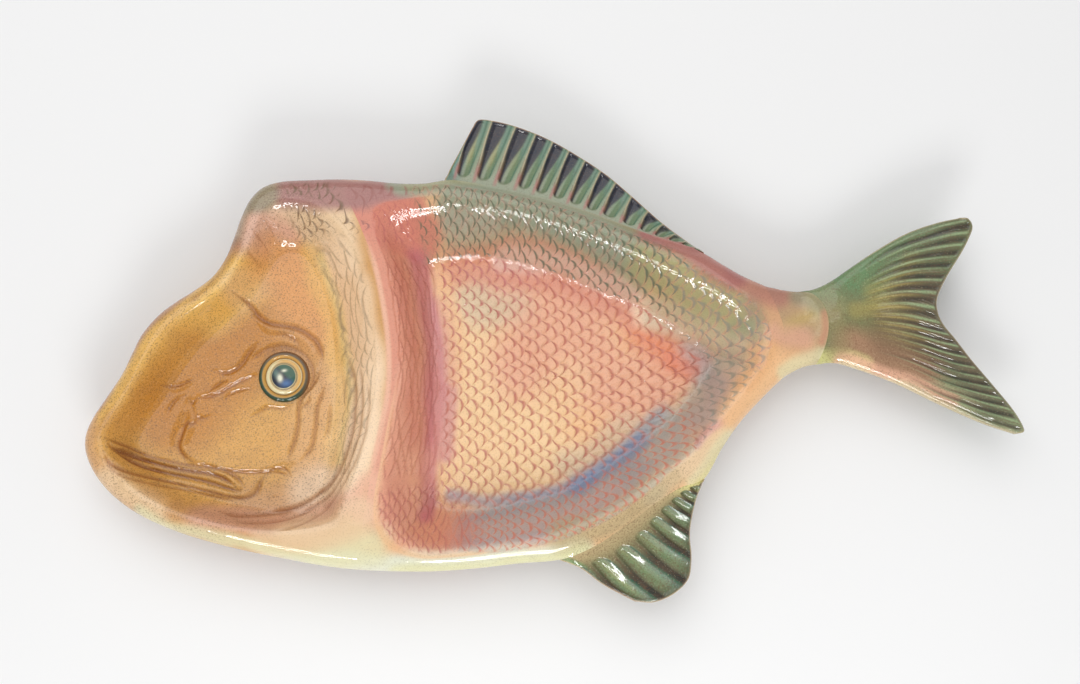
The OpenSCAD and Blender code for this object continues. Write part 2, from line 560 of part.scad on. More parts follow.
module anal_fin() {
  root = root_line([for (i = [anal_front_i : anal_rear_i]) outline[i]], anal_chord_n);
  edge_path = free_curve(places(anal_edge_shares), same(len(anal_edge_shares) - 1, wrist_n));
  front_path = free_curve(places(anal_front_shares), same(len(anal_front_shares) - 1, wrist_n));
  tip = evenly(edge_path, len(root) - 1);
  plan = flat(root);
  front = path_at(front_path, fin_row_shares);
  rear = [for (v = fin_row_shares) blend(plan[len(plan) - 1], tip[len(tip) - 1], v)];
  color("darkolivegreen") fin(root, patch(plan, tip, front, rear), anal_flutes);
}

// The forked tail, dished between its raised sides and grooved between its rays
module tail_fin() {
  stem_end = [for (p = wrist) [p.x, p.y, crest_z(p) - rim_fall(p, edge_distance(p)) - wrist_step]];
  root = refine(stem_end, tail_chord_n);
  n = len(root) - 1;
  m = len(tail_row_shares) - 1;
  fork = free_curve(places(tail_fork_shares), same(len(tail_fork_shares) - 1, wrist_n));
  top_side = free_curve(places(tail_top_shares), same(len(tail_top_shares) - 1, wrist_n));
  bottom_side = free_curve(places(tail_bottom_shares), same(len(tail_bottom_shares) - 1, wrist_n));
  left = path_at(top_side, tail_row_shares);
  right = path_at(bottom_side, tail_row_shares);
  rows = patch(flat(root), evenly(fork, n), left, right);
  side_w = rim_w * tail_side_share;
  side_z = platter_h - stem_fall - wrist_step;
  // Distance of a point to the nearer side of its row
  reach = [for (row = rows) [for (p = row) min(norm(p - row[0]), norm(p - row[n]))]];
  base = [for (i = [0 : m]) [for (j = [0 : n])
    let (v = tail_row_shares[i], w = abs(2 * j / n - 1))
    side_z - tail_dish * (1 - w * w * w) * smooth(2 * v)]];
  upper = [for (i = [0 : m]) [for (j = [0 : n])
    let (v = tail_row_shares[i], u = clamp(1 - reach[i][j] / side_w), lip = i == m ? fin_edge_round : 0,
      shaped = base[i][j] - fin_seat_drop * (1 - sqrt(1 - u * u)) - lip
        - ray_depth * groove(tail_rays * j / n) * smooth(v / ray_root_share))
    blend(root[j].z, shaped, smooth(v / relief_root_share))]];
  under = [for (i = [0 : m]) [for (j = [0 : n])
    blend(base[i][j] - fin_t, base[i][j] - fin_seat_drop - edge_t, smooth(1 - reach[i][j] / side_w))]];
  color("olivedrab") slab(rows, upper, under, false);
}

// A foot ring under a floor: it follows the floor's edge, and rounds off its far corners
function foot_radius(r, limit) = 1 / pow(pow(1 / (r * foot_share), 4) + pow(1 / limit, 4), 1 / 4);
function foot_line(floor_edge, hub, limit, inset) =
  [for (p = floor_edge) let (r = norm(p - hub)) hub + (p - hub) / r * (foot_radius(r, limit) - inset)];
module foot(floor_edge, hub, limit, h) {
  linear_extrude(height = h) difference() {
    polygon(foot_line(floor_edge, hub, limit, 0));
    polygon(foot_line(floor_edge, hub, limit, foot_w));
  }
}

module head_foot() {
  color("wheat") foot(head_floor, head_hub, platter_l * head_foot_limit_share, head_floor_z - clay_t);
}

module trunk_foot() {
  color("wheat") foot(trunk_floor, trunk_hub, platter_l * trunk_foot_limit_share, trunk_floor_z - clay_t);
}

// Half of a section, from its inner to its outer radius, rising as part of an ellipse
function crown(r1, r2, h) = [for (i = [0 : crown_n]) let (a = 180 * i / crown_n)
  [(r1 + r2) / 2 - (r2 - r1) / 2 * cos(a), h * sin(a)]];

module eye_ring() {
  eye = place(eye_share);
  color("darkgreen") translate([eye.x, eye.y, head_floor_z])
    rotate_extrude($fn = round_n) polygon(crown(eyeball_d / 2, eyeball_d / 2 + eye_ring_w, eye_ring_h));
}

module eyeball() {
  eye = place(eye_share);
  dome = [for (i = [0 : crown_n]) let (a = 90 * i / crown_n) [eyeball_d / 2 * cos(a), eyeball_h * sin(a)]];
  color("steelblue") translate([eye.x, eye.y, head_floor_z])
    rotate_extrude($fn = round_n) polygon(concat([[0, 0]], dome));
}

head_dish();
trunk_dish();
tail_stem();
tail_fin();
dorsal_fin();
anal_fin();
head_foot();
trunk_foot();
eye_ring();
eyeball();
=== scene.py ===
import math

import bpy
import numpy as np
from mathutils import Matrix, Quaternion, Vector


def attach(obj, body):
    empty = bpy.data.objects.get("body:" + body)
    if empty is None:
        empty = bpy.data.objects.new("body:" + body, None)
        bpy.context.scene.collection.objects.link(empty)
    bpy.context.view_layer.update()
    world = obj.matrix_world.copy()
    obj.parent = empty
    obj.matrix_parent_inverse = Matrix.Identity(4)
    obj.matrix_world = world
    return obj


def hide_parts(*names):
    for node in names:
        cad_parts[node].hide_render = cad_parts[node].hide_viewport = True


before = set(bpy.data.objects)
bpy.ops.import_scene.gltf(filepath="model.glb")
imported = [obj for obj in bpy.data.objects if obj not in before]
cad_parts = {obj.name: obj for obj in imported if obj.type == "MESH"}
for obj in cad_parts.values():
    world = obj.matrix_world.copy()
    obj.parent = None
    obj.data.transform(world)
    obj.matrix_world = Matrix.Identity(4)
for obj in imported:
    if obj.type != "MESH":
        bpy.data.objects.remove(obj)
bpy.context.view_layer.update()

# Sizes are in millimetres, and turn into metres where a mesh, a lamp or the camera is made.
MM = 0.001

# Platter
PLATTER_L = 480.0
PLATTER_W = 263.0
PLATTER_H = 36.0
CLAY_T = 6.0
FIN_T = 5.0
EDGE_T = 3.5
TRUNK_FLOOR_Z = 10.0
HEAD_FLOOR_Z = 14.0
RIDGE_DROP = 4.0
RIM_W = 8.5
RIM_DROP = 10.0
FIN_SEAT_W = 6.5
FIN_SEAT_DROP = 4.0
FIN_DROOP = 3.0
STEM_FALL = 4.0
WRIST_STEP = 1.2
TAIL_DISH = 3.0
FOOT_W = 7.0
EYE_D = 27.0
EYEBALL_D = 20.0
EYE_RING_H = 2.6
EYEBALL_H = 3.4

# Fineness of the meshes
STEP = 0.8               # along an edge
COARSE = 4               # the underside has one point for this many of the upper side's
CHUNK = 4000             # points that are measured against a path at a time
EDGE_ROUND = 1.4         # radius of the lower corner of a free edge
TIP_ROUND = 2.2          # radius of the upper corner of a fin's edge

# Tables of places are thousandths of the platter's length and width, from its middle.

# Upper side of the stem, from the tail joint towards the back
STEM_TOP_SHARES = ((287, 59), (274, 64), (261, 73))

# Back of the fish between the stem and the dorsal fin
UPPER_BACK_SHARES = ((249, 83), (228, 108), (209, 136))

# Line on the back where the dorsal fin is joined, from its rear end
DORSAL_ROOT_SHARES = (
    (192, 160), (166, 186), (139, 210), (112, 237), (86, 264), (59, 290), (32, 314), (3, 336), (-24, 354),
    (-51, 371),
)

# Back of the fish between the dorsal fin and the gill ridge
NAPE_SHARES = ((-77, 384), (-102, 386), (-129, 394), (-160, 408))

# Head, from the top of the gill ridge over the forehead, nose and chin
HEAD_SHARES = (
    (-191, 419), (-223, 426), (-252, 431), (-274, 425), (-290, 404), (-302, 372), (-312, 336),
    (-324, 296), (-340, 263), (-360, 241), (-383, 222), (-405, 199), (-425, 166), (-439, 128), (-452, 92),
    (-472, 50), (-488, 16), (-498, -18), (-499, -56), (-490, -103), (-472, -149), (-446, -191),
    (-412, -229), (-375, -261), (-335, -290), (-298, -314), (-262, -336),
)

# Belly, from the foot of the gill ridge to the anal fin
BELLY_SHARES = ((-227, -353), (-187, -367), (-146, -378), (-104, -384), (-58, -387))

# Line on the belly where the anal fin is joined
ANAL_ROOT_SHARES = ((-14, -391), (25, -375), (63, -343), (96, -311), (125, -288))

# Underside between the anal fin and the stem
LOWER_BACK_SHARES = ((153, -277), (178, -223), (202, -178), (231, -136))

# Lower side of the stem, up to the tail joint
STEM_BOTTOM_SHARES = ((252, -109), (263, -99), (277, -91), (292, -89))

# Crest of the gill ridge, from the back to the belly
SEAM_SHARES = (
    (-191, 419), (-183, 370), (-173, 309), (-164, 233), (-161, 149), (-162, 66), (-168, -10), (-181, -86),
    (-196, -162), (-208, -231), (-218, -292), (-227, -353),
)

# Joint of trunk and stem, from the belly side to the back
STEM_SEAM_SHARES = ((252, -109), (260, -64), (262, -16), (258, 31), (249, 83))

# Lip of the trunk well, from the top of the ridge and anticlockwise
TRUNK_LIP_SHARES = (
    (-160, 347), (-163, 324), (-160, 286), (-154, 222), (-152, 146), (-153, 66), (-159, -7), (-172, -79),
    (-185, -155), (-196, -219), (-197, -269), (-183, -315), (-154, -343), (-121, -350), (-85, -352),
    (-45, -353), (-8, -345), (25, -332), (59, -311), (90, -284), (117, -257), (144, -229), (167, -193),
    (191, -151), (215, -111), (234, -75), (244, -45), (248, -14), (244, 18), (229, 60), (209, 94),
    (188, 121), (165, 141), (142, 170), (119, 197), (94, 224), (68, 252), (42, 277), (15, 299),
    (-12, 319), (-37, 333), (-62, 343), (-85, 356), (-108, 358), (-129, 358), (-148, 357),
)

# Edge of the flat floor of the trunk well, point for point with its lip
TRUNK_FLOOR_SHARES = (
    (-104, 214), (-106, 199), (-108, 172), (-110, 134), (-112, 89), (-115, 39), (-118, -10), (-124, -64),
    (-130, -117), (-136, -166), (-140, -208), (-137, -242), (-121, -261), (-96, -269), (-66, -271),
    (-33, -267), (2, -259), (34, -238), (61, -216), (86, -193), (109, -170), (130, -149), (146, -124),
    (161, -102), (171, -81), (177, -67), (181, -58), (182, -50), (179, -43), (175, -33), (167, -16),
    (157, 5), (144, 30), (130, 50), (113, 71), (96, 92), (77, 111), (57, 134), (34, 157), (11, 180),
    (-12, 199), (-35, 212), (-56, 220), (-73, 223), (-85, 223), (-96, 220),
)

# Lip of the head well, from the foot of the ridge and anticlockwise
HEAD_LIP_SHARES = (
    (-243, -254), (-233, -237), (-222, -200), (-207, -147), (-191, -83), (-179, -10), (-173, 66),
    (-172, 149), (-175, 229), (-185, 294), (-200, 339), (-214, 370), (-235, 387), (-254, 393),
    (-269, 385), (-280, 364), (-288, 336), (-298, 303), (-310, 275), (-324, 244), (-344, 219),
    (-367, 200), (-390, 176), (-408, 146), (-425, 108), (-439, 68), (-454, 32), (-467, 4), (-477, -20),
    (-477, -50), (-471, -86), (-456, -124), (-434, -161), (-405, -195), (-373, -221), (-337, -244),
    (-304, -257), (-271, -261),
)

# Edge of the flat floor of the head well, point for point with its lip
HEAD_FLOOR_SHARES = (
    (-266, -216), (-260, -193), (-254, -155), (-245, -109), (-239, -60), (-233, -3), (-229, 54),
    (-227, 111), (-227, 165), (-231, 210), (-237, 248), (-243, 271), (-252, 286), (-262, 292),
    (-272, 286), (-281, 271), (-289, 252), (-299, 229), (-310, 208), (-325, 189), (-340, 170),
    (-356, 149), (-373, 125), (-389, 96), (-404, 66), (-418, 35), (-432, 9), (-442, -14), (-448, -33),
    (-447, -56), (-440, -83), (-428, -107), (-410, -134), (-387, -159), (-360, -181), (-331, -200),
    (-306, -214), (-283, -221),
)

# Free edge of the dorsal fin, from its rear end to its front corner
DORSAL_EDGE_SHARES = (
    (187, 173), (180, 183), (152, 235), (124, 297), (99, 350), (69, 400), (40, 441), (11, 472),
    (-12, 490), (-30, 498), (-39, 482),
)

# Front edge of the anal fin
ANAL_FRONT_SHARES = ((-14, -391), (7, -413), (29, -452), (59, -492))

# Free edge of the anal fin, from its front corner to its rear end
ANAL_EDGE_SHARES = (
    (59, -492), (79, -499), (101, -489), (119, -465), (126, -425), (128, -383), (133, -350), (141, -315),
    (149, -290),
)

# Arc where the tail meets the stem, from top to bottom
WRIST_SHARES = ((287, 59), (300, 49), (309, 26), (312, -3), (309, -33), (302, -62), (292, -89))

# Upper edge of the tail, from the stem
TAIL_TOP_SHARES = (
    (287, 59), (304, 60), (323, 70), (348, 92), (378, 118), (414, 143), (448, 155), (473, 158),
)

# Rear edge of the tail, from the upper tip round the fork to the lower tip
TAIL_FORK_SHARES = (
    (473, 158), (483, 152), (486, 136), (481, 117), (470, 89), (449, 44), (436, 9), (433, -16),
    (436, -45), (447, -81), (460, -126), (477, -179), (493, -232), (500, -267), (499, -280), (491, -282),
)

# Lower edge of the tail, from the stem
TAIL_BOTTOM_SHARES = (
    (292, -89), (311, -91), (330, -105), (373, -148), (416, -202), (458, -251), (491, -282),
)

# Middle of the picture, on the platter
PICTURE_MIDDLE = (0.16, 9.28)
# Hubs of the two wells, which their floors close on
TRUNK_HUB_SHARE = (10, -30)
HEAD_HUB_SHARE = (-310, 20)
# Middle of the eye
EYE_SHARE = (-283, 47)
# Middle of the stretch of ridge that dips, and half its length and width
DIP_SHARE = (-177, 35)
DIP_REACH_SHARES = (125, 323)
# Where the stem starts to fall and to thin its rim, and where it ends
STEM_SHARES = (0.205, 0.300)
# Share of a well's wall that bends at the lip, and at the floor
TRUNK_BEND_SHARES = (0.34, 0.16)
HEAD_BEND_SHARES = (0.30, 0.45)
# Feet follow the floor edges at this share of the way from the hub, up to their limits
FOOT_SHARE = 0.84
HEAD_FOOT_LIMIT_SHARE = 0.100
TRUNK_FOOT_LIMIT_SHARE = 0.150

# Glazes, as red, green and blue out of 255
GLAZES = {
    "ochre": (206, 150, 80), "amber": (194, 130, 50), "honey": (224, 170, 86), "straw": (240, 192, 104),
    "tan": (224, 174, 122), "apricot": (224, 158, 92), "bark": (150, 88, 45), "cream": (230, 224, 180),
    "ivory": (228, 228, 204), "lemon": (226, 220, 146), "lilac": (224, 180, 164), "sage": (206, 188, 150),
    "sand": (238, 206, 166), "moss": (150, 142, 118), "mauve": (168, 118, 114), "rose": (174, 108, 104),
    "shell": (238, 182, 152), "blush": (226, 172, 150), "coral": (216, 134, 114),
    "brick": (206, 122, 104), "plum": (196, 108, 118), "orchid": (210, 140, 142),
    "peach": (242, 192, 142), "butter": (246, 208, 158), "salmon": (232, 168, 140),
    "ember": (222, 118, 86), "mist": (200, 188, 166), "cornflower": (98, 132, 180),
    "slate": (152, 160, 168), "reed": (150, 158, 134), "olive": (172, 168, 118), "teal": (98, 136, 126),
    "fern": (110, 138, 102), "leaf": (116, 156, 106), "khaki": (150, 136, 94), "gold": (206, 182, 94),
    "umber": (120, 92, 68), "rust": (182, 134, 106), "celadon": (160, 184, 138), "pine": (58, 104, 80),
    "wheat": (196, 174, 130), "meadow": (88, 116, 74), "soot": (42, 42, 38), "petal": (232, 192, 176),
    "oat": (252, 222, 186), "ink_navy": (28, 34, 52),
}

# Sprays of glaze, a few of them painted light or painted highlights: glaze, half width of the full coat,
# softness beyond it, strength, and places on its path in mm from the middle of the picture
HEAD_SPRAYS = (
    ("honey", 14, 26, 0.75, (-205, 12), (-165, -22), (-140, -32), (-150, -10)),
    ("amber", 8, 24, 0.85, (-192, -8), (-172, 8), (-152, 22)),
    ("honey", 6, 12, 0.8, (-225, -25), (-205, -40), (-180, -54)),
    ("straw", 7, 14, 1, (-142, 58), (-155, 54), (-168, 44)),
    # Painted light: a paler butter patch on the wall under the rim, where it lies in shade
    ("butter", 3, 9, 0.5, (-141, 54), (-153, 50)),
    ("sand", 5, 9, 0.9, (-97, 88), (-95, 74), (-94, 60)),
    ("straw", 2, 8, 0.5, (-222, 5), (-205, 22), (-185, 38), (-165, 52)),
    ("tan", 8, 18, 0.6, (-122, 66), (-120, 30), (-118, -10), (-124, -45)),
    ("amber", 10, 22, 0.4, (-188, -8), (-165, 8), (-135, 32)),
    ("apricot", 6, 18, 0.8, (-128, 62), (-118, 42), (-112, 30)),
    ("lilac", 4, 12, 0.75, (-144, 78), (-134, 86), (-122, 82)),
    ("sage", 2, 9, 0.7, (-116, 90), (-110, 78), (-106, 62)),
    ("oat", 3, 9, 0.5, (-122, 90), (-112, 82), (-106, 72)),
    ("tan", 4, 12, 0.7, (-205, -52), (-180, -60), (-150, -64), (-125, -58)),
    ("honey", 5, 14, 0.8, (-214, -36), (-195, -46), (-178, -52)),
    ("oat", 6, 14, 0.85, (-128, -60), (-112, -52), (-102, -34), (-97, -8)),
    ("blush", 2, 9, 0.75, (-185, -64), (-160, -70), (-130, -73), (-108, -66)),
    ("oat", 6, 9, 0.75, (-99, 58), (-94, 35), (-91, 10), (-93, -12), (-100, -34), (-110, -53)),
    ("straw", 2, 8, 0.55, (-113, 66), (-108, 40), (-106, 10), (-108, -16), (-116, -42)),
    ("lemon", 0, 4, 0.25, (-108, 64), (-104, 40), (-102, 10), (-104, -20), (-112, -45)),
)

# Over the trunk
TRUNK_SPRAYS = (
    ("butter", 14, 22, 0.95, (-44, 15), (-42, -20), (-38, -55), (-20, -52)),
    ("mist", 5, 16, 0.55, (-30, 28), (-12, 24)),
    ("salmon", 8, 22, 0.75, (-8, -8), (12, 8), (32, -22), (50, -28)),
    ("salmon", 4, 14, 0.5, (-12, 40), (12, 30), (35, 16)),
    ("butter", 5, 15, 0.45, (12, -22), (-5, -40)),
    ("butter", 4, 12, 0.7, (-14, -64), (6, -61)),
    ("mist", 3, 10, 0.45, (6, -66), (20, -62), (40, -50)),
    ("ember", 4, 16, 0.75, (58, 2), (70, -12), (82, -24)),
    ("salmon", 4, 10, 0.5, (60, -32), (72, -30)),
    ("coral", 3, 10, 0.7, (-40, 46), (-15, 43), (8, 36), (32, 24), (50, 10)),
    ("reed", 9, 9, 0.95, (-30, 76), (-5, 74), (18, 66), (40, 54), (58, 38)),
    ("reed", 6, 8, 0.65, (-34, 64), (-5, 62), (18, 54), (38, 42), (54, 28)),
    ("coral", 1, 6, 0.5, (-38, 54), (-5, 53), (20, 45), (40, 31)),
    ("petal", 2, 7, 0.75, (-14, 48), (0, 46), (20, 39), (40, 27), (60, 10)),
    ("oat", 3, 9, 0.7, (58, 9), (76, 3), (88, -2), (98, -14), (99, -26)),
    ("olive", 6, 12, 0.9, (62, 32), (78, 20), (92, 8), (104, -2)),
    ("reed", 4, 8, 0.35, (64, 6), (78, -4), (88, -12)),
    ("mauve", 2, 10, 0.25, (84, -24), (96, -24)),
    ("teal", 3, 9, 0.3, (104, -12), (99, -22)),
    ("slate", 7, 8, 0.8, (-46, -91), (-22, -89), (0, -87), (22, -79), (42, -67), (58, -54)),
    ("lilac", 3, 8, 0.4, (-56, -94), (-22, -95), (2, -93), (26, -84)),
    ("mist", 4, 9, 0.7, (52, -64), (66, -54), (82, -40), (94, -28)),
    ("blush", 2, 7, 0.3, (70, -58), (84, -46), (98, -32)),
    ("slate", 3, 9, 0.45, (80, -16), (87, -38), (76, -50)),
    ("coral", 5, 17, 0.75, (-88, -80), (-76, -86), (-60, -90)),
    ("coral", 9, 9, 0.95, (-82, 80), (-66, 78), (-56, 66)),
    ("coral", 8, 9, 0.85, (-76, 58), (-73, 20), (-76, -12), (-84, -45), (-91, -70)),
    ("salmon", 4, 10, 0.5, (-68, -8), (-72, -34), (-76, -60)),
    ("brick", 2, 7, 0.5, (-65, 48), (-62, 18), (-65, -12), (-71, -42)),
    ("plum", 2, 6, 0.8, (-57, 58), (-56, 40), (-55, 10), (-58, -15), (-63, -38), (-68, -60), (-72, -78)),
    ("orchid", 1.5, 6, 0.75, (-50, 30), (-50, 0), (-53, -25), (-57, -50)),
    ("peach", 2, 6, 0.6, (-46, 44), (-45, 10), (-47, -10)),
    # Painted light: a paler salmon over the lower left wall, where it lies in shade
    ("salmon", 5, 9, 0.45, (-74, -50), (-80, -66), (-88, -78)),
    ("salmon", 3, 8, 0.6, (-84, -22), (-90, -42), (-96, -58)),
    ("mist", 4, 8, 0.4, (-34, 68), (-20, 66)),
    ("cornflower", 1.5, 7, 0.6, (8, -75), (18, -71), (32, -65), (44, -57)),
    ("cornflower", 0.5, 5, 0.5, (-58, -72), (-35, -77), (-8, -77), (18, -72)),
    ("slate", 0, 8, 0.4, (48, -52), (60, -43)),
    ("ember", 2, 6, 0.5, (68, -20), (77, -26)),
)

# Over the rims, the gill ridge and the stem
RIM_SPRAYS = (
    ("mauve", 6, 7, 0.95, (-118, 97), (-100, 94), (-82, 90), (-62, 91)),
    ("moss", 5, 7, 0.9, (-140, 97), (-132, 97)),
    ("moss", 2, 6, 0.6, (-146, 88), (-150, 78)),
    ("bark", 2, 6, 0.5, (-150, 72), (-160, 62), (-175, 52)),
    ("rust", 1.5, 5, 0.75, (-175, 52), (-200, 36), (-214, 20), (-228, 2)),
    ("straw", 0, 3.5, 0.7, (-160, 62), (-180, 46), (-203, 28), (-218, 8), (-230, -8)),
    ("tan", 3, 7, 0.9, (-236, -8), (-238, -22), (-230, -38)),
    ("sand", 2, 8, 0.8, (-230, -38), (-216, -50), (-205, -58)),
    ("sand", 4, 9, 0.7, (-152, -82), (-130, -85), (-110, -84)),
    ("cream", 0.5, 5, 0.8, (-214, -57), (-190, -70), (-165, -80), (-140, -90), (-120, -96)),
    ("rust", 1, 5, 0.35, (-196, -58), (-176, -66), (-150, -73)),
    ("ivory", 1, 8, 0.9, (-150, -95), (-125, -97)),
    ("ivory", 3, 7, 1, (-142, -101), (-125, -98), (-105, -99), (-70, -105), (-30, -109), (4, -108)),
    # Painted highlight on the lower end of the gill ridge's crest
    ("shell", 3, 8, 0.8, (-97, -60), (-101, -72)),
    ("cream", 3, 12, 0.8, (-132, -98), (-114, -94), (-100, -90)),
    ("sand", 4, 9, 0.6, (-138, -78), (-118, -80), (-104, -74)),
    ("lemon", 1, 6, 0.55, (-90, -106), (-50, -111), (-12, -111), (6, -108)),
    ("wheat", 3, 8, 0.9, (-4, -100), (10, -99), (26, -95), (44, -86)),
    ("sage", 2, 10, 0.75, (46, -85), (60, -76), (72, -68)),
    ("sand", 3, 7, 0.85, (66, -74), (80, -66), (92, -56)),
    ("orchid", 0.5, 4, 0.6, (72, -64), (92, -49), (105, -36), (114, -24)),
    ("cream", 2, 5, 0.7, (68, -84), (80, -74), (94, -60), (104, -49), (116, -38)),
    ("lemon", 0.5, 4, 0.6, (70, -86), (84, -74), (98, -60)),
    ("peach", 5, 8, 0.95, (94, -50), (108, -38), (120, -28), (130, -22)),
    ("apricot", 1, 6, 0.3, (100, -38), (112, -28), (120, -18)),
    ("reed", 2, 6, 0.5, (110, 4), (112, -6), (112, -14)),
    ("cream", 1, 5, 0.7, (122, -34), (136, -28), (146, -28)),
    ("rust", 6, 12, 0.5, (118, 4), (128, -4), (132, -14)),
    ("rose", 4.5, 7, 0.9, (64, 50), (78, 42), (92, 30), (104, 19)),
    ("rose", 3, 8, 0.65, (106, 18), (116, 11), (126, 6)),
    ("mauve", 2, 5, 0.6, (60, 60), (74, 50), (88, 38)),
    ("moss", 2, 7, 0.8, (137, 4), (142, 3), (146, -2)),
    ("olive", 2, 6, 0.4, (144, 2), (148, -6)),
    ("reed", 4, 6, 0.9, (-60, 92), (-40, 91), (-20, 89), (0, 87), (20, 79)),
    ("olive", 1, 5, 0.5, (-56, 92), (-30, 91), (-4, 88)),
    ("khaki", 2.5, 6, 0.8, (22, 78), (40, 67), (56, 55)),
    ("gold", 0, 7, 0.35, (128, -12), (140, -8)),
    ("blush", 2, 7, 0.5, (122, -14), (134, -18)),
    ("coral", 0, 4, 0.5, (148, -8), (147, -16), (143, -22)),
)

# Over the tail
TAIL_SPRAYS = (
    ("fern", 8, 16, 0.6, (156, 6), (175, 14), (200, 25)),
    ("leaf", 4, 10, 0.4, (165, 12), (178, 23), (195, 31), (215, 33)),
    ("khaki", 6, 12, 0.45, (158, -10), (180, -14), (205, -14)),
    ("gold", 1, 8, 0.25, (176, 2), (190, 4), (198, 14)),
    ("gold", 1, 6, 0.3, (165, -8), (185, -8), (200, -6)),
    ("rust", 5, 12, 0.8, (160, -28), (178, -36), (195, -46)),
    ("lemon", 2, 6, 0.8, (140, -30), (152, -33), (164, -37)),
    ("umber", 5, 12, 0.5, (180, -22), (200, -30), (215, -40)),
    ("sand", 1, 8, 0.6, (176, -48), (190, -54), (205, -60), (215, -64)),
    ("celadon", 7, 12, 0.55, (210, -58), (222, -68), (233, -78)),
    # Painted highlight along the rolled lower edge of the tail
    ("shell", 1.5, 5, 0.8, (152, -33), (170, -40), (190, -52), (205, -62)),
    ("cream", 0.5, 3.5, 0.6, (152, -36), (180, -50), (210, -70), (232, -83)),
    ("olive", 2, 9, 0.5, (148, 4), (152, -6)),
    ("khaki", 3, 9, 0.6, (150, -6), (151, -16), (151, -24)),
    ("fern", 2, 8, 0.4, (148, 3), (153, 1)),
    ("soot", 5, 12, 0.75, (198, -4), (208, -6), (216, -8)),
    ("soot", 4, 11, 0.6, (202, -26), (214, -42), (228, -64)),
    ("soot", 3, 10, 0.25, (214, 18), (224, 28)),
)

